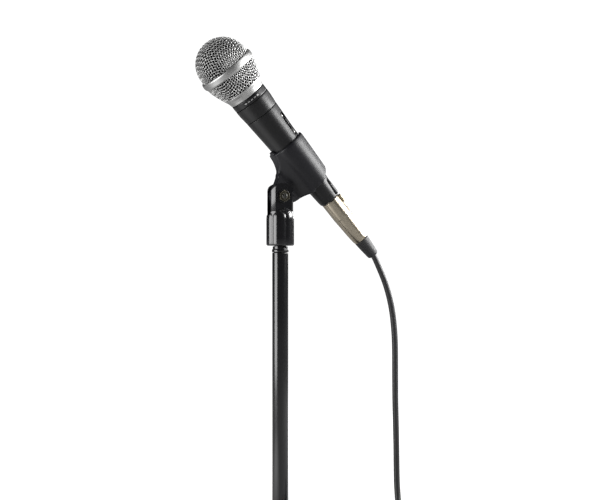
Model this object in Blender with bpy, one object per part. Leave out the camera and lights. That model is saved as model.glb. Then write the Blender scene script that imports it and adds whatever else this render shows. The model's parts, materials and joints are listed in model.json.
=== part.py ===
"""Hand-held dynamic microphone in a tilting stand clip, on a short weighted stand, with its lead.

Outlines are in millimetres and become metres when a shape is made. World: +Z up, floor at Z = 0,
stand tube on the Z axis, microphone in the XZ plane with its head towards -X.
The microphone is drawn upright in its own frame, whose origin is the centre of its tail end and
whose +Z runs to the head; the clip's pivot tilts that frame.
"""

import math

import bmesh
import bpy
from mathutils import Matrix, Vector

MM = 0.001
GAP = 0.3  # clearance between touching pieces
ROUND_STEPS = 28
SMALL_STEPS = 16

# Microphone, heights from the tail end
MIC_TILT = math.radians(-40.9)  # from upright, turned about +Y
MIC_LENGTH = 192.4
BALL_RADIUS = 26.3
BALL_CENTRE = 166.1
MESH_WALL = 1.4
BAND_RADIUS, BAND_BOTTOM, BAND_TOP = 28.1, 156.1, 162.7
COLLAR_TOP, COLLAR_TOP_RADIUS = 137.4, 20.4
COLLAR_BOTTOM, NECK_RADIUS = 129.1, 18.2
ID_RING_BOTTOM = 122.5
SLEEVE_BOTTOM, SLEEVE_RADIUS = 107.2, 17.2
HANDLE_WALL = 1.8
TAIL_RADIUS = 9.9
SOCKET_RADIUS = 8.4  # bore of the tail socket
SOCKET_DEPTH = 15.5

# Switch, on the upper front of the handle
MIC_TURN = math.radians(-20)  # of the microphone in its clip, about its own axis
SWITCH_TURN = math.radians(-16)  # from the tail's ridge
SWITCH_LOW, SWITCH_HIGH = 71.8, 97.8
SWITCH_WIDTH = 12.0
SWITCH_FLOOR = 14.0  # plate face, from the axis
SLIDER_TRAVEL = 5.0

# Lead plug, below the tail
SHELL_RADIUS, SHELL_LENGTH = 9.3, 49.9
BOOT_LENGTH = 20.6
CABLE_DIAMETER = 6.0

# Clip and swivel
PIVOT_HEIGHT = 336.0
PIVOT_OFFSET, PIVOT_UP_MIC = 36.9, 35.5  # from the microphone's axis, and from its tail end
CLIP_LOW, CLIP_HIGH = 20.2, 70.2
CLIP_WALL = 2.6
SLIT_FROM, SLIT_TO = math.radians(-12), math.radians(50)
WEB_HALF = 4.3
EAR_HALF, EAR_RADIUS, EAR_SLOT_HALF = 9.2, 12.2, 4.7
SWIVEL_BOTTOM, SWIVEL_LEDGE = 289.0, 322.0
SWIVEL_RADIUS = 12.8
BOLT_RADIUS = 2.5

# Stand
TUBE_RADIUS, TUBE_TOP = 7.7, 273.0
BASE_RADIUS, BASE_BOTTOM, BASE_RIM, HUB_TOP = 105.0, 2.0, 10.0, 26.0
FOOT_RADIUS, FOOT_CIRCLE, FEET = 9.0, 84.0, 4

# Stored lead
COIL_CENTRE = (172.0, -62.0)
COIL_MEAN_RADIUS, COIL_LAYERS = 40.0, 4
FAR_PLUG_TAIL = (82.0, -122.0, 9.6)


def clear_scene():
    for obj in list(bpy.data.objects):
        bpy.data.objects.remove(obj, do_unlink=True)


def material(name, colour, roughness, metallic=0.0):
    made = bpy.data.materials.new(name)
    made.use_nodes = True
    shader = made.node_tree.nodes["Principled BSDF"]
    shader.inputs["Base Color"].default_value = (*colour, 1)
    shader.inputs["Roughness"].default_value = roughness
    shader.inputs["Metallic"].default_value = metallic
    made.diffuse_color = (*colour, 1)
    return made


def empty(name, place, turn=(0, 0, 0), parent=None):
    made = bpy.data.objects.new(name, None)
    made.location = Vector(place) * MM
    made.rotation_euler = turn
    made.parent = parent
    bpy.context.scene.collection.objects.link(made)
    return made


def add(name, bm, finish, parent=None, place=(0, 0, 0), turn=(0, 0, 0)):
    """Turns a bmesh in millimetres into a named object in metres."""
    bmesh.ops.remove_doubles(bm, verts=bm.verts, dist=1e-4)
    bmesh.ops.recalc_face_normals(bm, faces=bm.faces)
    bmesh.ops.scale(bm, vec=(MM, MM, MM), verts=bm.verts)
    mesh = bpy.data.meshes.new(name)
    bm.to_mesh(mesh)
    bm.free()
    mesh.shade_smooth()
    mesh.set_sharp_from_angle(angle=math.radians(32))
    if finish:
        mesh.materials.append(finish)
    made = bpy.data.objects.new(name, mesh)
    made.location = Vector(place) * MM
    made.rotation_euler = turn
    made.parent = parent
    bpy.context.scene.collection.objects.link(made)
    return made


def spun(outline, steps):
    bm = bmesh.new()
    verts = [bm.verts.new((radius, 0, height)) for radius, height in outline]
    ring = verts if outline[0][0] == 0 and outline[-1][0] == 0 else verts + verts[:1]
    edges = [bm.edges.new(pair) for pair in zip(ring, ring[1:])]
    bmesh.ops.spin(
        bm, geom=verts + edges, axis=(0, 0, 1), cent=(0, 0, 0),
        angle=math.tau, steps=steps, use_merge=True,
    )
    return bm


def turned(name, outline, finish, parent=None, steps=ROUND_STEPS, **where):
    """A piece turned about its own Z from an outline of (radius, height) points."""
    return add(name, spun(outline, steps), finish, parent, **where)


def block(name, low, high, finish, parent=None, bevel=0.0, **where):
    """A box between two corners, its edges rounded by bevel."""
    low, high = Vector(low), Vector(high)
    bm = bmesh.new()
    bmesh.ops.create_cube(bm, size=1)
    bmesh.ops.scale(bm, vec=high - low, verts=bm.verts)
    bmesh.ops.translate(bm, vec=(low + high) / 2, verts=bm.verts)
    if bevel:
        bmesh.ops.bevel(
            bm, geom=bm.edges, offset=bevel, segments=2, profile=0.5, affect="EDGES", material=-1
        )
    return add(name, bm, finish, parent, **where)


def extruded(name, outline, half, finish, parent=None, **where):
    """An outline in the XZ plane, extruded from -half to +half along Y."""
    bm = bmesh.new()
    face = bm.faces.new([bm.verts.new((x, -half, z)) for x, z in outline])
    grown = bmesh.ops.extrude_face_region(bm, geom=[face])["geom"]
    moved = [item for item in grown if isinstance(item, bmesh.types.BMVert)]
    bmesh.ops.translate(bm, vec=(0, 2 * half, 0), verts=moved)
    return add(name, bm, finish, parent, **where)


def boolean(target, tool, operation):
    """Cuts or joins with a helper that stays hidden."""
    step = target.modifiers.new(tool.name, "BOOLEAN")
    step.operation = operation
    step.object = tool
    tool.hide_render = True
    tool.display_type = "WIRE"


def cut(target, tool):
    boolean(target, tool, "DIFFERENCE")


def join(target, tool):
    boolean(target, tool, "UNION")


def rod(name, radius, low, high, finish, parent=None, steps=SMALL_STEPS, **where):
    return turned(name, [(0, low), (radius, low), (radius, high), (0, high)], finish, parent, steps, **where)


def arc(centre, radius, start, end, count):
    """Points on a circle arc, angles in degrees."""
    return [
        (
            centre[0] + radius * math.cos(math.radians(start + (end - start) * i / count)),
            centre[1] + radius * math.sin(math.radians(start + (end - start) * i / count)),
        )
        for i in range(count + 1)
    ]


def offset_outline(outline, wall):
    """A closed ring outline: the outer points, then the same points pulled in by the wall."""
    return outline + [(radius - wall, height) for radius, height in reversed(outline)]


def smooth_route(points, step):
    """Points every step along a Catmull-Rom curve through the given ones."""
    points = [Vector(point) for point in points]
    ends = [2 * points[0] - points[1], *points, 2 * points[-1] - points[-2]]
    fine = []
    for a, b, c, d in zip(ends, ends[1:], ends[2:], ends[3:]):
        for k in range(24):
            t = k / 24
            fine.append(
                0.5 * (2 * b + (c - a) * t + (2 * a - 5 * b + 4 * c - d) * t * t
                       + (3 * b - a - 3 * c + d) * t ** 3)
            )
    fine.append(points[-1])
    lengths = [0.0]
    for a, b in zip(fine, fine[1:]):
        lengths.append(lengths[-1] + (b - a).length)
    count = max(2, round(lengths[-1] / step))
    route, at = [], 0
    for k in range(count + 1):
        goal = lengths[-1] * k / count
        while at < len(fine) - 2 and lengths[at + 1] < goal:
            at += 1
        part = (goal - lengths[at]) / (lengths[at + 1] - lengths[at])
        route.append(fine[at].lerp(fine[at + 1], part))
    return route


def tube(name, points, diameter, finish, parent=None, resolution=2):
    """A cord along points in millimetres, as a bevelled curve with filled caps."""
    curve = bpy.data.curves.new(name, "CURVE")
    curve.dimensions = "3D"
    curve.bevel_depth = diameter / 2 * MM
    curve.bevel_resolution = resolution
    curve.use_fill_caps = True
    spline = curve.splines.new("POLY")
    spline.points.add(len(points) - 1)
    for place, point in zip(spline.points, points):
        place.co = (*(Vector(point) * MM), 1)
    curve.materials.append(finish)
    made = bpy.data.objects.new(name, curve)
    made.parent = parent
    bpy.context.scene.collection.objects.link(made)
    return made


def make_materials():
    return {
        "silver": material("satin_silver", (0.62, 0.62, 0.61), 0.35, 1.0),
        "mesh": material("steel_mesh", (0.55, 0.55, 0.55), 0.4, 1.0),
        "handle": material("grey_handle_paint", (0.045, 0.046, 0.048), 0.42, 0.3),
        "gloss": material("gloss_black", (0.01, 0.01, 0.011), 0.12),
        "clip": material("satin_black_plastic", (0.012, 0.013, 0.016), 0.35),
        "rubber": material("black_rubber", (0.012, 0.012, 0.012), 0.6),
        "foam": material("black_foam", (0.01, 0.01, 0.01), 0.95),
        "nickel": material("champagne_nickel", (0.62, 0.57, 0.48), 0.28, 1.0),
        "brass": material("brass", (0.72, 0.55, 0.30), 0.3, 1.0),
        "steel": material("plated_steel", (0.6, 0.6, 0.6), 0.3, 1.0),
        "latch": material("gold_latch", (0.70, 0.56, 0.36), 0.3, 1.0),
        "plastic": material("dark_plastic", (0.02, 0.02, 0.022), 0.45),
        "white": material("light_plastic", (0.75, 0.75, 0.73), 0.4),
        "copper": material("copper_wire", (0.72, 0.38, 0.22), 0.35, 1.0),
        "magnet": material("magnet_alloy", (0.35, 0.35, 0.36), 0.35, 1.0),
        "film": material("clear_film", (0.75, 0.74, 0.68), 0.2),
    }


def grille(mic, m):
    """The ball and basket of woven mesh, the band and collar that hold them, and the foam inside."""
    dome_low = BAND_TOP + GAP
    low_angle = math.degrees(math.asin((dome_low - BALL_CENTRE) / BALL_RADIUS))
    outer = [(0 if abs(a - 90) < 1e-6 else x, z) for a, (x, z) in (
        (low_angle + (90 - low_angle) * i / 7, point)
        for i, point in enumerate(arc((0, BALL_CENTRE), BALL_RADIUS, low_angle, 90, 7))
    )]
    inner = arc((0, BALL_CENTRE), BALL_RADIUS - MESH_WALL, 90, low_angle, 7)
    inner[0] = (0, inner[0][1])
    dome = [*inner, *outer]
    turned("grille_dome", dome, m["mesh"], mic)
    r, low, high = BAND_RADIUS, BAND_BOTTOM, BAND_TOP
    turned(
        "grille_band",
        [(24.7, low), (r - 0.8, low), (r - 0.2, low + 1.0), (r, low + 2.2), (r, high - 2.2),
         (r - 0.2, high - 1.0), (r - 0.8, high), (24.7, high)],
        m["silver"], mic,
    )
    basket = [(26.1, low - GAP), (25.5, 151.4), (24.2, 147.2), (22.9, 143.4), (21.4, 139.6),
              (20.7, COLLAR_TOP + GAP)]
    turned("grille_basket", offset_outline(basket, MESH_WALL), m["mesh"], mic)
    turned(
        "grille_collar",
        [(15.7, COLLAR_BOTTOM + GAP), (NECK_RADIUS + 0.1, COLLAR_BOTTOM + GAP), (18.6, 131.4),
         (19.4, 134.0), (20.6, 136.0), (20.7, COLLAR_TOP), (18.9, COLLAR_TOP), (15.7, 134.6)],
        m["silver"], mic,
    )
    foam_out = BALL_RADIUS - MESH_WALL - 0.4
    liner = arc((0, BALL_CENTRE), foam_out, 90, -20, 6)
    liner[0] = (0, BALL_CENTRE + foam_out)
    liner += [(23.0, 152.0), (22.0, 147.6), (20.2, 142.4), (18.9, 139.2)]
    wall = 1.8
    inside = [(r - wall, z) for r, z in reversed(liner[1:])] + [(0, BALL_CENTRE + foam_out - wall)]
    turned("foam_liner", liner + inside, m["foam"], mic)


def body(mic, switch_side, m):
    """Neck, identity ring, handle with its socket, and the fixed socket insert."""
    turned(
        "neck_sleeve",
        [(15.3, SLEEVE_BOTTOM + GAP), (SLEEVE_RADIUS, SLEEVE_BOTTOM + GAP), (17.6, 111.0), (18.1, 116.0),
         (18.3, ID_RING_BOTTOM), (15.3, ID_RING_BOTTOM), (15.3, 134.0), (13.6, 134.0), (13.6, 103.2),
         (14.6, 103.2), (14.6, SLEEVE_BOTTOM + GAP)],
        m["handle"], mic,
    )
    turned(
        "id_ring",
        [(15.6, ID_RING_BOTTOM + GAP), (NECK_RADIUS, ID_RING_BOTTOM + GAP), (NECK_RADIUS + 0.1, 124.0),
         (NECK_RADIUS + 0.1, 127.8), (NECK_RADIUS, COLLAR_BOTTOM), (15.6, COLLAR_BOTTOM)],
        m["gloss"], mic,
    )
    side = [(SLEEVE_RADIUS, SLEEVE_BOTTOM), (16.95, 101.6), (16.3, 90.0), (15.65, 78.5), (15.35, 70.2),
            (14.2, 50.0), (12.7, 31.0), (11.6, 17.4), (10.7, 4.5), (TAIL_RADIUS, 0.6), (9.4, 0)]
    bore = [(0, -5), (SOCKET_RADIUS, -5), (SOCKET_RADIUS, SOCKET_DEPTH), (9.6, SOCKET_DEPTH + 1),
            (10.8, 31.0), (12.4, 50.0), (13.5, 70.2), (14.0, 84.0), (14.9, 100.0), (14.9, 115), (0, 115)]
    handle = turned("handle", [(0, SLEEVE_BOTTOM), *side, (0, 0)], m["handle"], mic)
    pocket = block("switch_pocket", (SWITCH_FLOOR - 2.4, -SWITCH_WIDTH / 2, SWITCH_LOW),
                   (22, SWITCH_WIDTH / 2, SWITCH_HIGH), None, switch_side)
    ridge = block("tail_ridge", (6.0, -7.3, 1.2), (11.5, 7.3, CLIP_LOW - 0.4), None, mic, bevel=0.7)
    join(handle, ridge)
    cut(handle, turned("handle_bore", bore, None, mic))
    cut(handle, pocket)
    slot = block("tail_slot", (9.6, -9.0, 13.4), (10.9, -5.8, 18.2), None, mic)
    screw_hole = rod("set_screw_hole", 1.5, 0, 8, None, mic, place=(7.0, 0, 7.0), turn=(0, math.pi / 2, 0))
    cut(handle, slot)
    cut(handle, screw_hole)
    rod("set_screw", 1.2, 1.9, 4.2, m["steel"], mic, 12, place=(7.0, 0, 7.0), turn=(0, math.pi / 2, 0))
    insert = rod("socket_insert", 9.2, SOCKET_DEPTH + 1.6, SOCKET_DEPTH + 6.5, m["plastic"], mic, 24)
    for number, angle in enumerate((30, 150, 270), start=1):
        x, y = 3.9 * math.cos(math.radians(angle)), 3.9 * math.sin(math.radians(angle))
        hole = rod(f"socket_hole_{number}", 1.5, 0, 40, None, mic, 12, place=(x, y, 0))
        cut(insert, hole)
        rod(f"socket_pin_{number}", 1.15, 5.0, 26.0, m["brass"], mic, 12, place=(x, y, 0))


def switch(side, m):
    """Recessed slide switch, facing +X of its own frame: plate with a slot, slider, body and screws."""
    middle = (SWITCH_LOW + SWITCH_HIGH) / 2
    half = SWITCH_WIDTH / 2 - GAP
    plate = block("switch_plate", (SWITCH_FLOOR - 1.6, -half, SWITCH_LOW + GAP),
                  (SWITCH_FLOOR, half, SWITCH_HIGH - GAP), m["plastic"], side)
    slot = block("slider_slot", (10, -2.1, middle - 6.4), (18, 2.1, middle + 6.4), None, side)
    cut(plate, slot)
    rest = middle + SLIDER_TRAVEL / 2
    slider = block("switch_slider", (0.3, -3.2, -3.0), (1.9, 3.2, 3.0), m["white"], side, bevel=0.3,
                   place=(SWITCH_FLOOR, 0, rest))
    stem = block("slider_stem", (-2.6, -1.7, -1.8), (0.9, 1.7, 1.8), None, side,
                 place=(SWITCH_FLOOR, 0, rest))
    join(slider, stem)
    switch_box = block("switch_body", (4.5, -4.0, middle - 7.0), (SWITCH_FLOOR - 1.9, 4.0, middle + 7.0),
                       m["plastic"], side)
    room = block("switch_body_room", (11.4, -2.2, middle - 5.2), (18, 2.2, middle + 5.2), None, side)
    cut(switch_box, room)
    for name, height in (("switch_screw_upper", middle + 9.8), ("switch_screw_lower", middle - 9.8)):
        hole = rod(f"{name}_hole", 1.1, -4, 4, None, side, 12, place=(SWITCH_FLOOR, 0, height),
                   turn=(0, math.pi / 2, 0))
        cut(plate, hole)
        screw = turned(name, [(0, -4.0), (0.8, -4.0), (0.8, 0.3), (1.7, 0.3), (1.5, 0.9), (0, 1.0)],
                       m["steel"], side, 12, place=(SWITCH_FLOOR, 0, height), turn=(0, math.pi / 2, 0))
        groove = block(f"{name}_groove", (0.7, -2.5, -0.2), (2, 2.5, 0.2), None, side,
                       place=(SWITCH_FLOOR, 0, height))
        cut(screw, groove)


def capsule(mic, m):
    """The moving-coil cartridge, its rubber suspension, and the transformer in the handle."""
    turned("capsule_cup", [(11.7, 148.6), (13.6, 148.6), (13.6, 165.4), (12.5, 165.4), (12.5, 150.0),
                           (11.7, 150.0)], m["plastic"], mic, 28)
    turned("capsule_front_cap", [(4.0, 168.6), (10.0, 167.9), (13.6, 165.8), (13.6, 167.2), (10.5, 169.6),
                                 (4.0, 170.2)], m["steel"], mic, 28)
    turned("diaphragm", [(0, 166.3), (4.5, 165.9), (8.0, 164.5), (12.1, 164.0), (12.1, 164.35),
                         (8.1, 164.95), (4.5, 166.3), (0, 166.7)], m["film"], mic, 28)
    turned("voice_coil", [(7.9, 160.4), (8.4, 160.4), (8.4, 164.1), (7.9, 164.1)], m["copper"], mic, 24)
    turned("yoke", [(0, 150.4), (11.4, 150.4), (11.4, 161.6), (8.9, 161.6), (8.9, 152.6), (0, 152.6)],
           m["steel"], mic, 28)
    rod("magnet", 6.8, 152.9, 158.4, m["magnet"], mic, 24)
    rod("pole_piece", 7.4, 158.7, 161.6, m["steel"], mic, 24)
    turned("rear_chamber", [(0, 127.0), (11.2, 127.0), (11.8, 128.0), (11.8, 148.3), (10.6, 148.3),
                            (10.6, 129.0), (0, 129.0)], m["plastic"], mic, 28)
    turned("shock_mount", [(12.1, 134.3), (15.2, 134.3), (16.5, 138.0), (16.5, 140.5), (13.8, 147.4),
                           (12.1, 148.0)], m["rubber"], mic, 28)
    block("transformer", (-6.2, -6.2, 40.0), (6.2, 6.2, 58.0), m["copper"], mic, bevel=0.6)
    points = [(-2, 2, 126.4), (-4, 3, 115), (-7, 4, 100), (-6, 4.5, 85), (-5, 4, 70), (-4, 3, 58.4)]
    tube("capsule_lead", smooth_route(points, 4.0), 1.8, m["rubber"], mic)


def plug(mic, m):
    """Female lead connector pushed into the tail socket."""
    r = SHELL_RADIUS
    shell = turned(
        "plug_shell",
        [(r, -GAP), (r, -20.6), (9.2, -22.6), (8.75, -30.6), (8.5, -38.6), (7.8, -47.6),
         (7.4, -SHELL_LENGTH), (6.3, -SHELL_LENGTH), (6.3, -14.0), (7.1, -12.0), (7.1, 13.0), (7.9, 13.0),
         (7.9, -GAP)],
        m["nickel"], mic,
    )
    window = block("latch_window", (6.0, -3.6, -18.6), (14, 3.6, -0.9), None, mic)
    cut(shell, window)
    insert = turned("plug_insert", [(0, -10), (6.7, -10), (6.7, 12.6), (0, 12.6)], m["rubber"], mic, 24)
    for number, angle in enumerate((30, 150, 270), start=1):
        x, y = 3.9 * math.cos(math.radians(angle)), 3.9 * math.sin(math.radians(angle))
        cut(insert, rod(f"contact_bore_{number}", 1.6, 3, 20, None, mic, 12, place=(x, y, 0)))
    latch = block("latch_lever", (-0.4, -3.2, -3.9), (2.0, 3.2, 3.9), m["latch"], mic, bevel=0.5,
                  place=(9.3, 0, -5.4))
    foot = block("latch_foot", (-1.1, -2.4, -12.6), (0.1, 2.4, 3.2), None, mic, place=(9.3, 0, -5.4))
    join(latch, foot)
    turned("cable_chuck", [(3.3, -46), (5.9, -46), (5.9, -30), (3.3, -30)], m["plastic"], mic, 20)
    turned(
        "plug_boot",
        [(3.2, -SHELL_LENGTH - GAP), (7.2, -SHELL_LENGTH - GAP), (7.0, -54), (6.3, -62), (5.7, -68.5),
         (5.0, -70.2), (3.4, -SHELL_LENGTH - BOOT_LENGTH), (3.2, -70)],
        m["rubber"], mic, 28,
    )


def clip(seat, m):
    """Split holder with its web and pivot eye, one moulding."""
    holder = turned(
        "clip_holder",
        [(0, CLIP_LOW), (16.0, CLIP_LOW), (16.45, 31.4), (17.6, 52.0), (18.2, 66.0), (18.0, 69.4),
         (17.6, CLIP_HIGH), (0, CLIP_HIGH)],
        m["clip"], seat,
    )
    web = extruded("clip_web", web_outline(), WEB_HALF, None, seat)
    room = turned(
        "clip_room",
        [(0, -10), (11.3, -10), (12.3, CLIP_LOW), (13.0, 31.0), (14.5, 50.0), (15.65, 69.4), (16.2, 76),
         (16.2, 100), (0, 100)],
        None, seat,
    )
    reach = 40.0
    sweep = [SLIT_FROM + (SLIT_TO - SLIT_FROM) * i / 3 for i in range(4)]
    wedge = [(0, 0)] + [(reach * math.cos(a), reach * math.sin(a)) for a in sweep]
    slit = extruded("clip_slit", [(x, -y) for x, y in wedge], 60.0, None, seat,
                    place=(0, 0, 45), turn=(math.pi / 2, 0, 0))
    eye = rod("pivot_hole", BOLT_RADIUS + GAP, -20, 20, None, seat,
              place=(-PIVOT_OFFSET, 0, PIVOT_UP_MIC), turn=(math.pi / 2, 0, 0))
    join(holder, web)
    cut(holder, room)
    cut(holder, slit)
    cut(holder, eye)


def web_outline():
    """Side view of the web in the seat's frame, from world points about the pivot."""
    eye_x, eye_z = 0.0, PIVOT_HEIGHT
    world = [(-10, 377), (-6, 368), (-3.4, 361), (-2.6, 355), (-4, 349.5), (-7.4, 344)]
    world += arc((eye_x, eye_z), 10.5, 140, 318, 10)
    world += [(12.5, 331.5), (17, 334.6), (22, 337.6), (27, 338.7), (36, 352), (6, 384)]
    tail = Vector((0, 0, PIVOT_HEIGHT)) - Matrix.Rotation(MIC_TILT, 3, "Y") @ Vector(
        (-PIVOT_OFFSET, 0, PIVOT_UP_MIC))
    back = Matrix.Rotation(-MIC_TILT, 3, "Y")
    return [(p.x, p.z) for p in (back @ (Vector((x, 0, z)) - tail) for x, z in world)]


def swivel(m):
    """Forked swivel base with the pivot bolt, its nut and washers, and the brass thread insert."""
    bm = bmesh.new()
    across_flats = 1 / math.cos(math.pi / 8)
    height = SWIVEL_LEDGE - SWIVEL_BOTTOM
    bmesh.ops.create_cone(bm, cap_ends=True, segments=8, radius1=SWIVEL_RADIUS * across_flats,
                          radius2=12.8 * across_flats, depth=height)
    bmesh.ops.rotate(bm, cent=(0, 0, 0), matrix=Matrix.Rotation(math.pi / 8, 3, "Z"), verts=bm.verts)
    bmesh.ops.translate(bm, vec=(0, 0, SWIVEL_BOTTOM + height / 2), verts=bm.verts)
    rims = [e for e in bm.edges if abs(e.verts[0].co.z - e.verts[1].co.z) < 1e-6]
    bmesh.ops.bevel(bm, geom=rims, offset=1.0, segments=2, profile=0.5, affect="EDGES", material=-1)
    base = add("swivel_base", bm, m["gloss"])
    ears = extruded("ears", [(-EAR_RADIUS, SWIVEL_LEDGE - 6), (EAR_RADIUS, SWIVEL_LEDGE - 6)]
                    + arc((0, PIVOT_HEIGHT), EAR_RADIUS, 0, 180, 14), EAR_HALF, None)
    slot = block("ear_slot", (-30, -EAR_SLOT_HALF, 318.0), (30, EAR_SLOT_HALF, 380), None)
    hole = rod("bolt_hole", BOLT_RADIUS + GAP, -20, 20, None, place=(0, 0, PIVOT_HEIGHT),
               turn=(math.pi / 2, 0, 0))
    join(base, ears)
    cut(base, slot)
    cut(base, hole)
    for side in (-1, 1):
        seat = rod(f"seat_{side}", 7.0, 0, 10, None, place=(0, side * (EAR_HALF - 0.9), PIVOT_HEIGHT),
                   turn=(-side * math.pi / 2, 0, 0), steps=24)
        cut(base, seat)
    thread_room = rod("thread_room", 7.5, SWIVEL_BOTTOM - 5, 306.0, None, steps=24)
    cut(base, thread_room)
    turned("thread_insert", [(5.9, SWIVEL_BOTTOM + 0.2), (7.2, SWIVEL_BOTTOM + 0.2), (7.2, 305.6),
                             (5.9, 305.6)], m["brass"], steps=24)
    across = (math.pi / 2, 0, 0)  # local +Z to world -Y
    place = (0, 0, PIVOT_HEIGHT)
    seat_at = EAR_HALF - 0.9
    turned("pivot_bolt", [(0, -12.4), (3.4, -12.4), (4.4, -11.6), (4.4, -9.7), (BOLT_RADIUS, -9.7),
                          (BOLT_RADIUS, 12.8), (0, 12.8)], m["steel"], steps=20, place=place, turn=across)
    turned("nut_washer", [(BOLT_RADIUS + GAP, seat_at + 0.2), (6.3, seat_at + 0.2), (6.3, seat_at + 1.0),
                          (BOLT_RADIUS + GAP, seat_at + 1.0)], m["steel"], steps=24, place=place, turn=across)
    nut = turned("pivot_nut", [(0, seat_at + 1.2), (4.8, seat_at + 1.2), (5.2, seat_at + 1.6),
                               (5.2, seat_at + 3.4), (4.8, seat_at + 3.8), (0, seat_at + 3.8)],
                 m["brass"], steps=6, place=place, turn=across)
    cut(nut, rod("nut_thread", BOLT_RADIUS + GAP, 0, 20, None, place=place, turn=across))
    nut.data.shade_flat()


def stand(m):
    """Tube, threaded stud, weighted base, the nut under it and the rubber feet."""
    turned("stand_stud", [(0, 255.0), (6.0, 255.0), (6.0, TUBE_TOP), (8.0, TUBE_TOP + 0.2), (8.1, 275.0),
                          (8.1, 284.4), (7.9, 285.5), (7.4, 285.8), (7.4, SWIVEL_BOTTOM - GAP),
                          (5.5, SWIVEL_BOTTOM - GAP), (5.5, 304.0), (0, 304.0)], m["gloss"])
    turned("stand_tube", [(6.4, 12.0), (TUBE_RADIUS, 12.0), (TUBE_RADIUS, TUBE_TOP - 0.2),
                          (6.4, TUBE_TOP - 0.2)],
           m["gloss"])
    low = BASE_BOTTOM
    turned(
        "base_plate",
        [(8.0, 11.7), (5.4, 11.7), (5.4, low + 5), (14.0, low + 5), (14.0, low), (BASE_RADIUS - 1.5, low),
         (BASE_RADIUS, low + 1.5), (BASE_RADIUS, BASE_RIM - 3), (BASE_RADIUS - 1.2, BASE_RIM - 0.8),
         (BASE_RADIUS - 4, BASE_RIM), (26, 16.5), (16, 20.5), (14.5, HUB_TOP), (8.0, HUB_TOP)],
        m["gloss"], steps=40,
    )
    turned("tube_foot", [(0, 8.4), (5.0, 8.4), (5.0, 12.0), (6.1, 12.0), (6.1, 30.0), (0, 30.0)], m["steel"],
           steps=24)
    nut = turned("base_nut", [(0, 2.4), (9.0, 2.4), (9.0, 6.6), (0, 6.6)], m["steel"], steps=6)
    nut.data.shade_flat()
    for k in range(FEET):
        angle = math.tau * (k + 0.5) / FEET
        turned(f"foot_{k + 1}", [(0, 0), (FOOT_RADIUS - 0.6, 0), (FOOT_RADIUS, 0.6),
                                 (FOOT_RADIUS, BASE_BOTTOM - GAP), (0, BASE_BOTTOM - GAP)],
               m["rubber"], steps=24,
               place=(FOOT_CIRCLE * math.cos(angle), FOOT_CIRCLE * math.sin(angle), 0))


def lead(m):
    """The free cable: hanging run, stored coil with its tie, and the far connector on the floor."""
    run = [(97.55, 0, 279.6), (100.0, 0, 275.1), (103.6, 0, 267.5), (108.9, 0, 255.7), (113.0, 0, 244.0),
           (116.1, 0, 232.2), (118.2, 0, 220.4), (119.5, 0, 208.7), (120.3, 0, 196.9), (120.6, 0, 185.2),
           (120.7, 0, 161.7), (120.9, 0, 138.2), (121.5, 0, 114.7), (122.0, 0, 91.3), (122.3, 0, 70.0),
           (122.3, -1.0, 54.0), (122.1, -4.4, 38.0), (121.8, -11.5, 23.0), (122.0, -20.0, 12.0),
           (122.9, -26.5, 6.8), (124.6, -31.6, 4.2)]
    tube("cable_run", smooth_route(run, 2.2 * CABLE_DIAMETER), CABLE_DIAMETER, m["rubber"])
    x, y = COIL_CENTRE
    half = COIL_LAYERS * CABLE_DIAMETER / 2 + 0.4
    top = COIL_LAYERS * CABLE_DIAMETER + 0.4
    inner, outer = COIL_MEAN_RADIUS - half, COIL_MEAN_RADIUS + half
    turned("cable_coil", [(inner, 2.5), (inner + 2.5, 0), (outer - 2.5, 0), (outer, 2.5), (outer, top - 2.5),
                          (outer - 2.5, top), (inner + 2.5, top), (inner, top - 2.5)],
           m["rubber"], steps=40, place=(x, y, 0))
    wrap = block("cable_tie", (inner - 2.6, -5, 0.2), (outer + 1.9, 5, top + 1.8), m["clip"], bevel=2.0,
                 place=(x, y, 0), turn=(0, 0, math.radians(-35)))
    core = block("tie_room", (inner - 1.0, -9, -3), (outer + GAP, 9, top + GAP), None,
                 place=(x, y, 0), turn=(0, 0, math.radians(-35)))
    cut(wrap, core)
    px, py, pz = FAR_PLUG_TAIL
    tail = [(119.6, -84.5, 16.2), (117.2, -93.0, 14.2), (112.0, -104.0, 12.0), (104.0, -114.5, 10.4),
            (95.5, -120.4, 9.8), (88.5, py, pz), (px + 0.4, py, pz)]
    tube("cable_tail", smooth_route(tail, 2.2 * CABLE_DIAMETER), CABLE_DIAMETER, m["rubber"])
    along = (0, -math.pi / 2, 0)  # local +Z to world -X
    end = (px, py, pz)
    turned("far_plug_boot", [(0, 0), (4.8, 0), (5.7, 2.0), (6.3, 8.5), (7.2, BOOT_LENGTH - GAP),
                             (0, BOOT_LENGTH - GAP)], m["rubber"], steps=24, place=end, turn=along)
    front = BOOT_LENGTH + 54.0
    turned("far_plug_shell", [(0, BOOT_LENGTH), (7.4, BOOT_LENGTH), (8.5, BOOT_LENGTH + 11),
                              (9.2, BOOT_LENGTH + 27), (9.6, BOOT_LENGTH + 29), (9.6, front - 0.5),
                              (9.3, front), (8.3, front), (8.3, front - 14), (0, front - 14)],
           m["nickel"], steps=28, place=end, turn=along)
    turned("far_plug_insert", [(0, front - 13.7), (8.0, front - 13.7), (8.0, front - 11.5),
                               (0, front - 11.5)], m["plastic"], steps=24, place=end, turn=along)
    for number, angle in enumerate((30, 150, 270), start=1):
        across, up = 3.9 * math.cos(math.radians(angle)), 3.9 * math.sin(math.radians(angle))
        rod(f"far_pin_{number}", 1.15, front - 11.2, front - 1.5, m["brass"], steps=12,
            place=(px, py + across, pz + up), turn=along)


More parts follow.
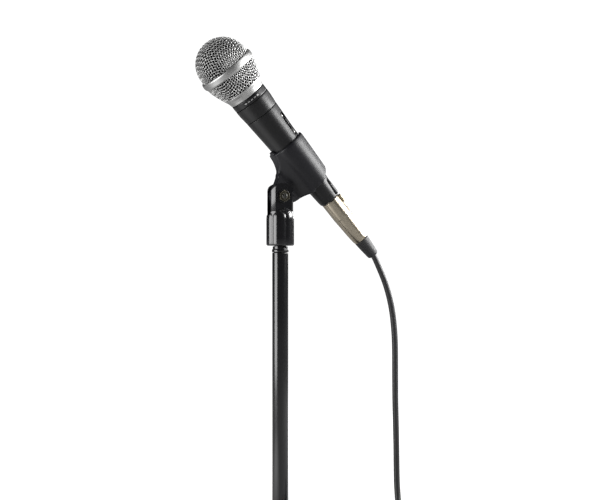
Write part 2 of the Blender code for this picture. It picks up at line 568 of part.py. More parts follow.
def main():
    clear_scene()
    m = make_materials()
    pivot = empty("tilt_pivot", (0, 0, PIVOT_HEIGHT), (0, MIC_TILT, 0))
    seat = empty("seat_in_clip", (PIVOT_OFFSET, 0, -PIVOT_UP_MIC), parent=pivot)
    mic = empty("microphone_frame", (0, 0, 0), (0, 0, MIC_TURN), parent=seat)
    switch_side = empty("switch_side", (0, 0, 0), (0, 0, SWITCH_TURN), parent=mic)
    grille(mic, m)
    body(mic, switch_side, m)
    switch(switch_side, m)
    capsule(mic, m)
    plug(mic, m)
    clip(seat, m)
    swivel(m)
    stand(m)
    lead(m)
    bpy.context.view_layer.update()


main()
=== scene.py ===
"""Hand-held dynamic microphone in its stand clip: the finished look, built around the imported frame.

Laid out as an add-on and run as a script. Shapes are drawn in millimetres, the microphone's own
upright with its tail end at the origin, and are put in place in metres when a piece is finished.
"""

import json
import math

import bmesh
import bpy
from mathutils import Matrix, Vector


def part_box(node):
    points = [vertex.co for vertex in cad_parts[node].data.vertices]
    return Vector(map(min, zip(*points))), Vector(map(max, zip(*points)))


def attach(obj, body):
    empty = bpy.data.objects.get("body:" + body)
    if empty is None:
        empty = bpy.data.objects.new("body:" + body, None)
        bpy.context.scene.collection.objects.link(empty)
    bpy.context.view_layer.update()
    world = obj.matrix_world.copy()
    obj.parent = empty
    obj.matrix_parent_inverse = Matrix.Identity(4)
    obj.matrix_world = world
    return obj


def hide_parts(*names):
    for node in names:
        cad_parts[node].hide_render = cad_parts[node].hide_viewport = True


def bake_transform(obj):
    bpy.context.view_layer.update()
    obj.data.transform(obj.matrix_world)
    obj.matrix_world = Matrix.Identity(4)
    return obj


bl_info = {
    "name": "Stand Microphone",
    "version": (1, 0, 0),
    "blender": (4, 5, 0),
    "location": "View3D > Sidebar > Microphone",
    "description": "Builds a hand-held dynamic microphone in its stand clip, with its lead",
    "category": "Object",
}

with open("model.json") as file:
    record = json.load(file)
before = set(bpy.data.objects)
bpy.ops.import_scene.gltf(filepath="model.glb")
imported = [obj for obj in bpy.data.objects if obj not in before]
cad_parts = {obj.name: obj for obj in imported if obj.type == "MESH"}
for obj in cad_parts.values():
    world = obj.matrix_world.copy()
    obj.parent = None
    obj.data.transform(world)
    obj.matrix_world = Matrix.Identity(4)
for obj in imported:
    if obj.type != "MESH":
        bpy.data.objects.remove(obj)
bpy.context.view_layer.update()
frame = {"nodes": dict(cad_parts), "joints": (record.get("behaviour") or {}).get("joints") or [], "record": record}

MM = 0.001
FINE_STEPS = 96
SMALL_STEPS = 32
JOINTS = {joint["name"]: joint for joint in frame["joints"]}
PIVOT = Vector(JOINTS["tilt"]["pos_m"])
TO_HEAD = -Vector(JOINTS["switch_slide"]["axis"]).normalized()
PIVOT_OFFSET, PIVOT_UP_MIC = 36.9, 35.5  # pivot from the microphone's axis, and from its tail end


def seat_frame():
    """The matrix from the clip's seat, in millimetres up the microphone's axis, to the world's metres."""
    side = Vector((0, 1, 0)).cross(TO_HEAD)
    turn = Matrix((side, Vector((0, 1, 0)), TO_HEAD)).transposed()
    tail = PIVOT + turn @ Vector((PIVOT_OFFSET, 0, -PIVOT_UP_MIC)) * MM
    return Matrix.Translation(tail) @ turn.to_4x4() @ Matrix.Scale(MM, 4)


SEAT = seat_frame()
MIC = SEAT @ Matrix.Rotation(math.radians(-20), 4, "Z")
SWITCH = MIC @ Matrix.Rotation(math.radians(-16), 4, "Z")
WORLD = Matrix.Scale(MM, 4)


# Sizes and colours ---------------------------------------------------------------------------

def length(name, description, default):
    return bpy.props.FloatProperty(
        name=name, description=description, default=default, unit="LENGTH", subtype="DISTANCE"
    )


def colour(name, description, default):
    return bpy.props.FloatVectorProperty(
        name=name, description=description, default=default, size=3, min=0, max=1, subtype="COLOR"
    )


class MicrophoneSizes(bpy.types.PropertyGroup):
    """Sizes that a user would change."""

    ball_radius: length("Ball radius", "Outer radius of the woven ball", 0.0263)
    mesh_pitch: length("Mesh pitch", "Distance between neighbouring wires", 0.00265)
    wire_diameter: length("Wire diameter", "Thickness of the grille's wire", 0.00078)
    band_radius: length("Band radius", "Outer radius of the band round the ball", 0.0281)
    cable_diameter: length("Cable diameter", "Outer diameter of the lead", 0.006)
    cable_length: length("Cable length", "Whole length of the lead between its connectors", 4.5)
    coil_radius: length("Coil radius", "Mean radius of the stored turns", 0.04)
    coil_layers: bpy.props.IntProperty(
        name="Coil layers", description="Layers of the stored coil, and turns in each", default=4
    )


class MicrophoneColours(bpy.types.PropertyGroup):
    """Base colours of the main finishes."""

    silver: colour("Silver", "Band and collar", (0.42, 0.42, 0.416))
    wire: colour("Wire", "Woven grille wire", (0.43, 0.43, 0.426))
    handle: colour("Handle", "Metallic handle paint", (0.005, 0.005, 0.0056))
    clip: colour("Clip", "Moulded clip", (0.005, 0.005, 0.0072))
    gloss: colour("Gloss black", "Swivel and stand", (0.004, 0.004, 0.005))
    nickel: colour("Nickel", "Connector shells", (0.40, 0.355, 0.28))
    rubber: colour("Rubber", "Boots, feet and lead jacket", (0.014, 0.014, 0.015))


# Shapes --------------------------------------------------------------------------------------

def soften(outline, radius, steps=4, closed=True):
    """The same outline with its corners rounded, each by as much as its neighbours leave room for."""
    points = [Vector(point) for point in outline]
    made = []
    for k, corner in enumerate(points):
        on_axis = corner.x < 1e-6
        if on_axis or (not closed and k in (0, len(points) - 1)):
            made.append(tuple(corner))
            continue
        before, after = points[k - 1] - corner, points[(k + 1) % len(points)] - corner
        cut = min(radius, 0.45 * before.length, 0.45 * after.length)
        straight = before.length < 1e-6 or after.length < 1e-6 or abs(before.angle(after) - math.pi) < 0.09
        if straight:
            made.append(tuple(corner))
            continue
        first, last = corner + before.normalized() * cut, corner + after.normalized() * cut
        for i in range(steps + 1):
            t = i / steps
            made.append(tuple((1 - t) ** 2 * first + 2 * t * (1 - t) * corner + t * t * last))
    return made


def spun(outline, steps=FINE_STEPS):
    """A shape turned about Z from (radius, height) points."""
    bm = bmesh.new()
    verts = [bm.verts.new((radius, 0, height)) for radius, height in outline]
    on_axis = outline[0][0] == 0 and outline[-1][0] == 0
    ring = verts if on_axis else verts + verts[:1]
    edges = [bm.edges.new(pair) for pair in zip(ring, ring[1:])]
    bmesh.ops.spin(
        bm, geom=verts + edges, axis=(0, 0, 1), cent=(0, 0, 0),
        angle=math.tau, steps=steps, use_merge=True,
    )
    bmesh.ops.remove_doubles(bm, verts=bm.verts, dist=1e-4)
    bmesh.ops.recalc_face_normals(bm, faces=bm.faces)
    return bm


def rod(radius, low, high, steps):
    """A plain cylinder about Z between two heights."""
    return spun([(0, low), (radius, low), (radius, high), (0, high)], steps)


def box(low, high, bevel=0.0, segments=3):
    """A box between two corners with rounded edges."""
    low, high = Vector(low), Vector(high)
    bm = bmesh.new()
    bmesh.ops.create_cube(bm, size=1)
    bmesh.ops.scale(bm, vec=high - low, verts=bm.verts)
    bmesh.ops.translate(bm, vec=(low + high) / 2, verts=bm.verts)
    if bevel:
        bmesh.ops.bevel(
            bm, geom=bm.edges, offset=bevel, segments=segments, profile=0.5,
            affect="EDGES", material=-1,
        )
    return bm


def hexagon(corner_radius, low, high):
    """A six-sided bar about Z between two heights."""
    bm = bmesh.new()
    bmesh.ops.create_cone(
        bm, cap_ends=True, segments=6, radius1=corner_radius, radius2=corner_radius, depth=high - low
    )
    bmesh.ops.translate(bm, vec=(0, 0, (low + high) / 2), verts=bm.verts)
    return bm


def extruded(outline, half):
    """An outline in the XZ plane, extruded both ways along Y."""
    bm = bmesh.new()
    face = bm.faces.new([bm.verts.new((x, -half, z)) for x, z in outline])
    grown = bmesh.ops.extrude_face_region(bm, geom=[face])["geom"]
    moved = [item for item in grown if isinstance(item, bmesh.types.BMVert)]
    bmesh.ops.translate(bm, vec=(0, 2 * half, 0), verts=moved)
    bmesh.ops.recalc_face_normals(bm, faces=bm.faces)
    return bm


def turned_to(bm, axis, place):
    """Turns a shape's +Z to an axis and moves it to a place."""
    turn = Vector((0, 0, 1)).rotation_difference(Vector(axis)).to_matrix()
    bmesh.ops.rotate(bm, cent=(0, 0, 0), matrix=turn, verts=bm.verts)
    bmesh.ops.translate(bm, vec=place, verts=bm.verts)
    return bm


def arc(centre, radius, start, end, count):
    """Points on a circle, angles in degrees."""
    return [
        (
            centre[0] + radius * math.cos(math.radians(start + (end - start) * i / count)),
            centre[1] + radius * math.sin(math.radians(start + (end - start) * i / count)),
        )
        for i in range(count + 1)
    ]


def solid(name, bm, where):
    """A bmesh as an object whose mesh is in world metres."""
    bmesh.ops.transform(bm, matrix=where, verts=bm.verts)
    mesh = bpy.data.meshes.new(name)
    bm.to_mesh(mesh)
    bm.free()
    made = bpy.data.objects.new(name, mesh)
    bpy.context.scene.collection.objects.link(made)
    return made


def evaluated(piece):
    """Applies every modifier on a piece."""
    graph = bpy.context.evaluated_depsgraph_get()
    mesh = bpy.data.meshes.new_from_object(piece.evaluated_get(graph))
    piece.modifiers.clear()
    piece.data = mesh
    mesh.name = piece.name
    return piece


def carve(piece, tool, where, operation="DIFFERENCE"):
    """Cuts, joins or keeps what is common with a tool shape."""
    helper = solid("carving_tool", tool, where)
    step = piece.modifiers.new("carve", "BOOLEAN")
    step.operation, step.solver, step.object = operation, "EXACT", helper
    evaluated(piece)
    bpy.data.objects.remove(helper)
    return piece


def join_pieces(first, second):
    """Boolean union of two finished solids."""
    step = first.modifiers.new("join", "BOOLEAN")
    step.operation, step.solver, step.object = "UNION", "EXACT", second
    evaluated(first)
    bpy.data.objects.remove(second)
    return first


def finish(piece, look, body, replaced=(), angle=32):
    """Shades, paints and mounts a piece on its body, in place of its plain solids."""
    piece.data.materials.clear()
    piece.data.materials.append(MATERIALS[look])
    piece.data.shade_smooth()
    piece.data.set_sharp_from_angle(angle=math.radians(angle))
    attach(piece, body)
    if replaced:
        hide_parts(*replaced)
    return piece


def turned_piece(name, outline, rounding, where, look, body, replaced, steps=FINE_STEPS):
    """A turned piece from its outline, softened, finished and mounted."""
    piece = solid(name, spun(soften(outline, rounding), steps), where)
    return finish(piece, look, body, [replaced])


def bevelled(piece, width, segments=2, angle=30):
    """Rounds the sharp edges that carving left."""
    step = piece.modifiers.new("edges", "BEVEL")
    step.width, step.segments = width * MM, segments
    step.limit_method, step.angle_limit = "ANGLE", math.radians(angle)
    step.harden_normals = False
    return evaluated(piece)


def smooth_route(points, step):
    """Points every step along a Catmull-Rom curve through the given ones."""
    points = [Vector(point) for point in points]
    ends = [2 * points[0] - points[1], *points, 2 * points[-1] - points[-2]]
    fine = []
    for a, b, c, d in zip(ends, ends[1:], ends[2:], ends[3:]):
        for k in range(24):
            t = k / 24
            fine.append(
                0.5 * (2 * b + (c - a) * t + (2 * a - 5 * b + 4 * c - d) * t * t
                       + (3 * b - a - 3 * c + d) * t ** 3)
            )
    fine.append(points[-1])
    run = [0.0]
    for a, b in zip(fine, fine[1:]):
        run.append(run[-1] + (b - a).length)
    count = max(2, round(run[-1] / step))
    route, at = [], 0
    for k in range(count + 1):
        goal = run[-1] * k / count
        while at < len(fine) - 2 and run[at + 1] < goal:
            at += 1
        route.append(fine[at].lerp(fine[at + 1], (goal - run[at]) / (run[at + 1] - run[at])))
    return route


def wires(name, runs, radius, sides_level):
    """Round wires along lists of points in metres, as one mesh."""
    curve = bpy.data.curves.new(name, "CURVE")
    curve.dimensions = "3D"
    curve.bevel_depth = radius
    curve.bevel_resolution = sides_level
    curve.use_fill_caps = True
    for run in runs:
        spline = curve.splines.new("POLY")
        spline.points.add(len(run) - 1)
        for place, point in zip(spline.points, run):
            place.co = (*point, 1)
    guide = bpy.data.objects.new(name + "_guide", curve)
    bpy.context.scene.collection.objects.link(guide)
    graph = bpy.context.evaluated_depsgraph_get()
    mesh = bpy.data.meshes.new_from_object(guide.evaluated_get(graph))
    bpy.data.objects.remove(guide)
    bpy.data.curves.remove(curve)
    mesh.name = name
    made = bpy.data.objects.new(name, mesh)
    bpy.context.scene.collection.objects.link(made)
    return made


# Materials -----------------------------------------------------------------------------------

MATERIALS = {}


def group(name, inputs, outputs):
    """An empty shader node group with named sockets."""
    tree = bpy.data.node_groups.new(name, "ShaderNodeTree")
    for label, kind, default in inputs:
        socket = tree.interface.new_socket(label, in_out="INPUT", socket_type=kind)
        if default is not None:
            socket.default_value = default
    for label, kind in outputs:
        tree.interface.new_socket(label, in_out="OUTPUT", socket_type=kind)
    return tree, tree.nodes.new("NodeGroupInput"), tree.nodes.new("NodeGroupOutput")


def math_node(tree, operation, first, second, clamp=False):
    """A maths node fed by numbers or sockets."""
    node = tree.nodes.new("ShaderNodeMath")
    node.operation, node.use_clamp = operation, clamp
    for socket, value in zip(node.inputs, (first, second)):
        if isinstance(value, (int, float)):
            socket.default_value = value
        else:
            tree.links.new(value, socket)
    return node.outputs[0]


def noise(tree, vector, scale, detail, roughness):
    """A noise pattern's value, its scale a number or a socket."""
    node = tree.nodes.new("ShaderNodeTexNoise")
    node.inputs["Detail"].default_value = detail
    node.inputs["Roughness"].default_value = roughness
    tree.links.new(vector, node.inputs["Vector"])
    if isinstance(scale, (int, float)):
        node.inputs["Scale"].default_value = scale
    else:
        tree.links.new(scale, node.inputs["Scale"])
    return node.outputs["Fac"]


def make_smudges():
    """Handling marks and dust: a slow blotch with fine specks, for colour and roughness."""
    tree, given, out = group(
        "Smudges",
        [("Vector", "NodeSocketVector", None), ("Blotch Scale", "NodeSocketFloat", 60.0),
         ("Speck Scale", "NodeSocketFloat", 2500.0), ("Base", "NodeSocketFloat", 0.4),
         ("Spread", "NodeSocketFloat", 0.1)],
        [("Value", "NodeSocketFloat"), ("Specks", "NodeSocketFloat")],
    )
    blotch = noise(tree, given.outputs["Vector"], given.outputs["Blotch Scale"], 5.0, 0.6)
    speck = noise(tree, given.outputs["Vector"], given.outputs["Speck Scale"], 2.0, 0.7)
    mixed = math_node(tree, "MULTIPLY", blotch, 0.75)
    both = math_node(tree, "ADD", mixed, math_node(tree, "MULTIPLY", speck, 0.25))
    centred = math_node(tree, "SUBTRACT", both, 0.5)
    spread = math_node(tree, "MULTIPLY", centred, given.outputs["Spread"])
    tree.links.new(
        math_node(tree, "ADD", spread, given.outputs["Base"], clamp=True), out.inputs["Value"]
    )
    tree.links.new(
        math_node(tree, "GREATER_THAN", speck, 0.72), out.inputs["Specks"]
    )
    return tree


def make_grain():
    """Fine surface height: cast or moulded grain with a finer grit over it."""
    tree, given, out = group(
        "Grain",
        [("Vector", "NodeSocketVector", None), ("Scale", "NodeSocketFloat", 900.0),
         ("Grit", "NodeSocketFloat", 0.4)],
        [("Height", "NodeSocketFloat")],
    )
    coarse = noise(tree, given.outputs["Vector"], given.outputs["Scale"], 2.0, 0.5)
    finer = math_node(tree, "MULTIPLY", given.outputs["Scale"], 4.3)
    grit = math_node(tree, "MULTIPLY", noise(tree, given.outputs["Vector"], finer, 1.0, 0.5),
                     given.outputs["Grit"])
    tree.links.new(math_node(tree, "ADD", coarse, grit), out.inputs["Height"])
    return tree


def make_turned_lines():
    """Fine rings left by a lathe, from a position along the turning axis."""
    tree, given, out = group(
        "Turned Lines",
        [("Vector", "NodeSocketVector", None), ("Pitch Scale", "NodeSocketFloat", 9000.0)],
        [("Height", "NodeSocketFloat")],
    )
    split = tree.nodes.new("ShaderNodeSeparateXYZ")
    tree.links.new(given.outputs["Vector"], split.inputs[0])
    join = tree.nodes.new("ShaderNodeCombineXYZ")
    tree.links.new(split.outputs["Z"], join.inputs["Z"])
    tree.links.new(
        noise(tree, join.outputs[0], given.outputs["Pitch Scale"], 2.0, 0.7), out.inputs["Height"]
    )
    return tree


def make_edge_rub():
    """Where edges are rubbed: a mask from how far the rounded normal leans from the flat one."""
    tree, given, out = group(
        "Edge Rub",
        [("Vector", "NodeSocketVector", None), ("Breakup Scale", "NodeSocketFloat", 700.0),
         ("Amount", "NodeSocketFloat", 0.5), ("Radius", "NodeSocketFloat", 0.0004)],
        [("Mask", "NodeSocketFloat")],
    )
    rounded = tree.nodes.new("ShaderNodeBevel")
    rounded.samples = 4
    tree.links.new(given.outputs["Radius"], rounded.inputs["Radius"])
    flat = tree.nodes.new("ShaderNodeNewGeometry")
    dot = tree.nodes.new("ShaderNodeVectorMath")
    dot.operation = "DOT_PRODUCT"
    tree.links.new(rounded.outputs[0], dot.inputs[0])
    tree.links.new(flat.outputs["Normal"], dot.inputs[1])
    lean = math_node(tree, "SUBTRACT", 1.0, dot.outputs["Value"], clamp=True)
    broken = noise(tree, given.outputs["Vector"], given.outputs["Breakup Scale"], 3.0, 0.6)
    edge = math_node(tree, "MULTIPLY", math_node(tree, "MULTIPLY", lean, 5.0), broken, clamp=True)
    tree.links.new(
        math_node(tree, "MULTIPLY", edge, given.outputs["Amount"], clamp=True), out.inputs["Mask"]
    )
    return tree


GROUPS = {}


def place_group(tree, name, vector, **values):
    """A shared effect placed in a material with its own values."""
    node = tree.nodes.new("ShaderNodeGroup")
    node.node_tree = GROUPS[name]
    tree.links.new(vector, node.inputs["Vector"])
    for label, value in values.items():
        node.inputs[label.replace("_", " ")].default_value = value
    return node


def mix_colour(tree, factor, first, second):
    """Two colours mixed by a number or a mask."""
    node = tree.nodes.new("ShaderNodeMix")
    node.data_type = "RGBA"
    a, b = node.inputs[6], node.inputs[7]
    for socket, value in ((a, first), (b, second)):
        if isinstance(value, (tuple, list)):
            socket.default_value = (*value[:3], 1)
        else:
            tree.links.new(value, socket)
    if isinstance(factor, (int, float)):
        node.inputs[0].default_value = factor
    else:
        tree.links.new(factor, node.inputs[0])
    return node.outputs[2]


def ramp(tree, value, low, high):
    """Stretches a narrow band of a mask to 0..1."""
    node = tree.nodes.new("ShaderNodeMapRange")
    node.inputs["From Min"].default_value = low
    node.inputs["From Max"].default_value = high
    tree.links.new(value, node.inputs["Value"])
    return node.outputs["Result"]


def surface(name, base, roughness, metallic=0.0, coat=0.0, spread=0.12, vary=0.15, grain=0.0,
            grain_scale=900.0, lines=0.0, along=None, rub=0.0, rub_colour=(0.5, 0.5, 0.5),
            specks=0.0, blotch=60.0, spec=0.5, rub_radius=0.0004, rub_scale=700.0):
    """One finish: base colour with slow variation, uneven roughness, fine height, rubbed edges."""
    made = bpy.data.materials.new(name)
    made.use_nodes = True
    tree = made.node_tree
    shader = tree.nodes["Principled BSDF"]
    shader.inputs["Metallic"].default_value = metallic
    shader.inputs["Coat Weight"].default_value = coat
    shader.inputs["Coat Roughness"].default_value = 0.12
    shader.inputs["Specular IOR Level"].default_value = spec
    where = tree.nodes.new("ShaderNodeTexCoord").outputs["Object"]
    if along:
        mapping = tree.nodes.new("ShaderNodeMapping")
        mapping.vector_type = "POINT"
        mapping.inputs["Rotation"].default_value = along
        tree.links.new(where, mapping.inputs["Vector"])
        where = mapping.outputs[0]
    smudges = place_group(tree, "Smudges", where, Base=roughness, Spread=spread, Blotch_Scale=blotch)
    tree.links.new(smudges.outputs["Value"], shader.inputs["Roughness"])
    slow = ramp(tree, noise(tree, where, blotch * 0.7, 4.0, 0.6), 0.3, 0.7)
    darker = tuple(c * (1 - vary) for c in base)
    lighter = tuple(min(1.0, c * (1 + vary)) for c in base)
    tint = mix_colour(tree, slow, darker, lighter)
    if specks:
        dust = math_node(tree, "MULTIPLY", smudges.outputs["Specks"], specks)
        tint = mix_colour(tree, dust, tint, (0.45, 0.44, 0.42))
    if rub:
        edges = place_group(tree, "Edge Rub", where, Amount=rub, Radius=rub_radius,
                            Breakup_Scale=rub_scale)
        tint = mix_colour(tree, edges.outputs["Mask"], tint, rub_colour)
    tree.links.new(tint, shader.inputs["Base Color"])
    heights = []
    if grain:
        node = place_group(tree, "Grain", where, Scale=grain_scale)
        heights.append((node.outputs["Height"], grain))
    if lines:
        node = place_group(tree, "Turned Lines", where)
        heights.append((node.outputs["Height"], lines))
    normal = None
    for height, depth in heights:
        bump = tree.nodes.new("ShaderNodeBump")
        bump.inputs["Strength"].default_value = 1.0
        bump.inputs["Distance"].default_value = depth * MM
        tree.links.new(height, bump.inputs["Height"])
        if normal is not None:
            tree.links.new(normal, bump.inputs["Normal"])
        normal = bump.outputs[0]
    if normal is not None:
        tree.links.new(normal, shader.inputs["Normal"])
    MATERIALS[name] = made


def make_materials(colours):
    """Every finish of the object, by name."""
    GROUPS["Smudges"] = make_smudges()
    GROUPS["Grain"] = make_grain()
    GROUPS["Turned Lines"] = make_turned_lines()
    GROUPS["Edge Rub"] = make_edge_rub()
    tilt = (0, -Vector((0, 0, 1)).angle(TO_HEAD) * (-1 if TO_HEAD.x < 0 else 1), 0)
    surface("satin_silver", tuple(colours.silver), roughness=0.42, metallic=1.0, spread=0.05, vary=0.03,
            grain=0.002, grain_scale=2600, lines=0.0006, along=tilt)
    surface("mesh_wire", tuple(colours.wire), roughness=0.40, metallic=1.0, spread=0.06, vary=0.06,
            grain=0.001, grain_scale=1500, blotch=200)
    surface("handle_paint", tuple(colours.handle), roughness=0.36, spread=0.06, vary=0.10, spec=0.34,
            grain=0.002, grain_scale=3200, rub=0.35, rub_colour=(0.22, 0.22, 0.22), specks=0.05)
    surface("gloss_black", tuple(colours.gloss), roughness=0.17, coat=0.3, spread=0.12, vary=0.25,
            grain=0.006, grain_scale=500, rub=0.15, rub_colour=(0.12, 0.12, 0.12), specks=0.04)
    surface("ring_lacquer", (0.004, 0.004, 0.005), roughness=0.32, spread=0.06, vary=0.15, spec=0.36)
    surface("clip_plastic", tuple(colours.clip), roughness=0.40, spread=0.14, vary=0.12, spec=0.36,
            grain=0.012, grain_scale=2100, rub=0.2, rub_colour=(0.10, 0.10, 0.105), specks=0.04)
    surface("nickel", tuple(colours.nickel), roughness=0.25, metallic=1.0, spread=0.05, vary=0.04,
            grain=0.0005, grain_scale=3000, lines=0.0004, along=tilt)
    surface("rubber", tuple(colours.rubber), roughness=0.52, spread=0.16, vary=0.2, grain=0.02,
            grain_scale=1400, specks=0.06)
    surface("jacket", tuple(colours.rubber), roughness=0.42, spread=0.14, vary=0.2, grain=0.012,
            grain_scale=1800, specks=0.05)
    surface("foam", (0.004, 0.004, 0.0045), roughness=0.95, vary=0.4, grain=0.25, grain_scale=1300,
            spec=0.1)
    surface("brass", (0.26, 0.20, 0.115), roughness=0.30, metallic=1.0, spread=0.2, vary=0.12,
            grain=0.006, grain_scale=1200, lines=0.004, rub=0.4, rub_colour=(0.85, 0.75, 0.55))
    surface("dark_brass", (0.05, 0.046, 0.036), roughness=0.32, metallic=1.0, spread=0.2, vary=0.3,
            grain=0.006, grain_scale=1200, rub=1.0, rub_colour=(0.80, 0.74, 0.56), rub_radius=0.0006,
            rub_scale=90.0)
    surface("dark_steel", (0.10, 0.10, 0.095), roughness=0.30, metallic=1.0, spread=0.2, vary=0.2,
            grain=0.005, grain_scale=1500, rub=0.5, rub_colour=(0.5, 0.48, 0.42))
    surface("steel", (0.52, 0.51, 0.49), roughness=0.34, metallic=1.0, spread=0.2, vary=0.08,
            grain=0.005, grain_scale=1500, lines=0.004)
    surface("latch_metal", (0.56, 0.47, 0.33), roughness=0.34, metallic=1.0, spread=0.16, vary=0.1,
            grain=0.005, grain_scale=1800, rub=0.3, rub_colour=(0.8, 0.7, 0.5))
    surface("switch_black", (0.006, 0.006, 0.0065), roughness=0.6, spread=0.1, vary=0.2, grain=0.01,
            grain_scale=1500, spec=0.15)
    surface("dark_plastic", (0.012, 0.012, 0.013), roughness=0.42, spread=0.12, vary=0.2, grain=0.012,
            grain_scale=1500)
    surface("light_plastic", (0.66, 0.66, 0.64), roughness=0.36, spread=0.12, vary=0.05, grain=0.008,
            grain_scale=1500)
    surface("copper", (0.62, 0.30, 0.16), roughness=0.30, metallic=1.0, spread=0.15, vary=0.15,
            lines=0.03)
    surface("magnet_alloy", (0.30, 0.30, 0.31), roughness=0.36, metallic=1.0, spread=0.2, vary=0.12,
            grain=0.01)
    surface("film", (0.70, 0.69, 0.62), roughness=0.18, coat=0.3, vary=0.05, grain=0.004)


SLOT_FINISH = {
    "satin_silver": "satin_silver", "steel_mesh": "mesh_wire", "handle_paint": "handle_paint",
    "gloss_black": "gloss_black", "clip_plastic": "clip_plastic", "black_rubber": "rubber",
    "black_foam": "foam", "champagne_nickel": "nickel", "brass": "brass", "plated_steel": "steel",
    "gold_latch": "latch_metal", "dark_plastic": "dark_plastic", "light_plastic": "light_plastic",
    "copper_wire": "copper", "magnet_alloy": "magnet_alloy", "clear_film": "film",
}


# Lead ----------------------------------------------------------------------------------------

LEAD_RUN = [
    (0.09755, 0, 0.2796), (0.1000, 0, 0.2751), (0.1036, 0, 0.2675), (0.1089, 0, 0.2557),
    (0.1130, 0, 0.2440), (0.1161, 0, 0.2322), (0.1182, 0, 0.2204), (0.1195, 0, 0.2087),
    (0.1203, 0, 0.1969), (0.1206, 0, 0.1852), (0.1207, 0, 0.1617), (0.1209, 0, 0.1382),
    (0.1215, 0, 0.1147), (0.1220, 0, 0.0913), (0.1223, 0, 0.0700), (0.1223, -0.0010, 0.0540),
    (0.1221, -0.0044, 0.0380), (0.1218, -0.0115, 0.0230), (0.1219, -0.0220, 0.0110),
    (0.1222, -0.0350, 0.0047), (0.1226, -0.0480, 0.0031),
]
LEAD_TAIL = [
    (0.1222, -0.0740, 0.0192), (0.1196, -0.0845, 0.0166), (0.1172, -0.0930, 0.0143),
    (0.1120, -0.1040, 0.0120), (0.1040, -0.1145, 0.0104), (0.0955, -0.1204, 0.0098),
    (0.0885, -0.1220, 0.0096), (0.0824, -0.1220, 0.0096),
]
COIL_CENTRE = (0.172, -0.062)
POINTS_A_TURN = 48
STEP_OVER = 0.16  # share of a turn in which the lead moves to the next ring or layer


def coil_points(sizes):
    """The stored turns, ring beside ring and layer on layer, each a diameter apart."""
    d, count = sizes.cable_diameter, sizes.coil_layers
    outermost = sizes.coil_radius + d * (count - 1) / 2

    def ring(turn):
        layer, place = divmod(turn, count)
        place = place if layer % 2 == 0 else count - 1 - place
        return outermost - d * place, d / 2 + d * layer

    points = []
    for turn in range(count * count):
        here, after = ring(turn), ring(min(turn + 1, count * count - 1))
        for k in range(POINTS_A_TURN):
            part = k / POINTS_A_TURN
            shift = max(0.0, (part - 1 + STEP_OVER) / STEP_OVER)
            shift = shift * shift * (3 - 2 * shift)
            radius = here[0] + (after[0] - here[0]) * shift
            height = here[1] + (after[1] - here[1]) * shift
            angle = math.pi + math.tau * part
            points.append(Vector((
                COIL_CENTRE[0] + radius * math.cos(angle),
                COIL_CENTRE[1] + radius * math.sin(angle),
                height,
            )))
    last = ring(count * count - 1)
    points.append(Vector((COIL_CENTRE[0] - last[0], COIL_CENTRE[1], last[1])))
    return points


ROUTE_STEP = 0.004


def make_lead(sizes):
    """The lead from the connector down to its coil, and its tail to the far connector."""
    coil = coil_points(sizes)
    start = smooth_route([*LEAD_RUN, coil[0], coil[1]], ROUTE_STEP)[:-1]
    end = smooth_route([coil[-2], coil[-1], *LEAD_TAIL], ROUTE_STEP)[1:]
    path = start + coil[2:-1] + end
    lead = wires("lead", [path], sizes.cable_diameter / 2, 4)
    lead.data.materials.append(MATERIALS["jacket"])
    lead.data.shade_smooth()
    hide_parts("cable_run", "cable_coil", "cable_tail")
    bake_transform(lead)
    return lead, path


# Microphone pieces ---------------------------------------------------------------------------

DOME_CENTRE = 165.7
NET_TURN = math.radians(-28.5)  # azimuth at which the squares lie square to the band
NET_REACH = 1.75  # how far the net is worked out from its pole, in ball radii
NET_SHORTEST = 0.2  # sides below this share of the pitch are left out
WEAVE_STEPS, WEAVE_SWING = 4, 0.34  # points a mesh side, and swing each way in wire thicknesses
DOME_END = math.radians(97.5)  # angles from the net's pole
BASKET_START, BASKET_END = math.radians(91.0), math.radians(45.5)
BASKET_SIDE = [
    (26.2, 156.4), (25.5, 151.4), (24.2, 147.2), (22.9, 143.4), (21.4, 139.6), (20.6, 137.0),
]


def net(radius, pitch, count):
    """Crossings of two families of wires pressed over a ball, every mesh side one pitch long."""
    step = pitch / radius
    grid = {}
    for k in range(count + 1):
        grid[k, 0] = Vector((math.sin(k * step), 0, math.cos(k * step)))
        grid[0, k] = Vector((0, math.sin(k * step), math.cos(k * step)))
    for i in range(1, count + 1):
        for j in range(1, count + 1):
            a, b, corner = grid[i - 1, j], grid[i, j - 1], grid[i - 1, j - 1]
            across = a.cross(b)
            if across.length < 0.25 * step:
                grid[i, j] = (a + b).normalized()
                continue
            across.normalize()
            grid[i, j] = corner - 2 * corner.dot(across) * across
    whole = {}
    for (i, j), p in grid.items():
        for si in (1, -1):
            for sj in (1, -1):
                whole[si * i, sj * j] = Vector((si * p.x, sj * p.y, p.z))
    return whole


def dome_point(direction, radius, lift):
    """A direction of the net as a point on the ball, lifted off it."""
    angle = math.atan2(direction.y, direction.x) + NET_TURN
    polar = math.acos(max(-1.0, min(1.0, direction.z)))
    r = (radius + lift) * math.sin(polar)
    height = DOME_CENTRE + (radius + lift) * math.cos(polar)
    return Vector((r * math.cos(angle), r * math.sin(angle), height))


def basket_point(direction, radius, lift):
    """The same pressed net, laid down the basket's side instead of the ball."""
    angle = math.atan2(direction.y, direction.x) + NET_TURN
    polar = math.acos(max(-1.0, min(1.0, direction.z)))
    down = radius * (math.pi / 2 - polar)
    sides = [Vector(p) for p in BASKET_SIDE]
    for a, b in zip(sides, sides[1:]):
        part = (b - a).length
        if down <= part or b == sides[-1]:
            break
        down -= part
    along = (b - a).normalized()
    at = a + along * down
    r, h = at.x - along.y * lift, at.y + along.x * lift
    return Vector((r * math.cos(angle), r * math.sin(angle), h))


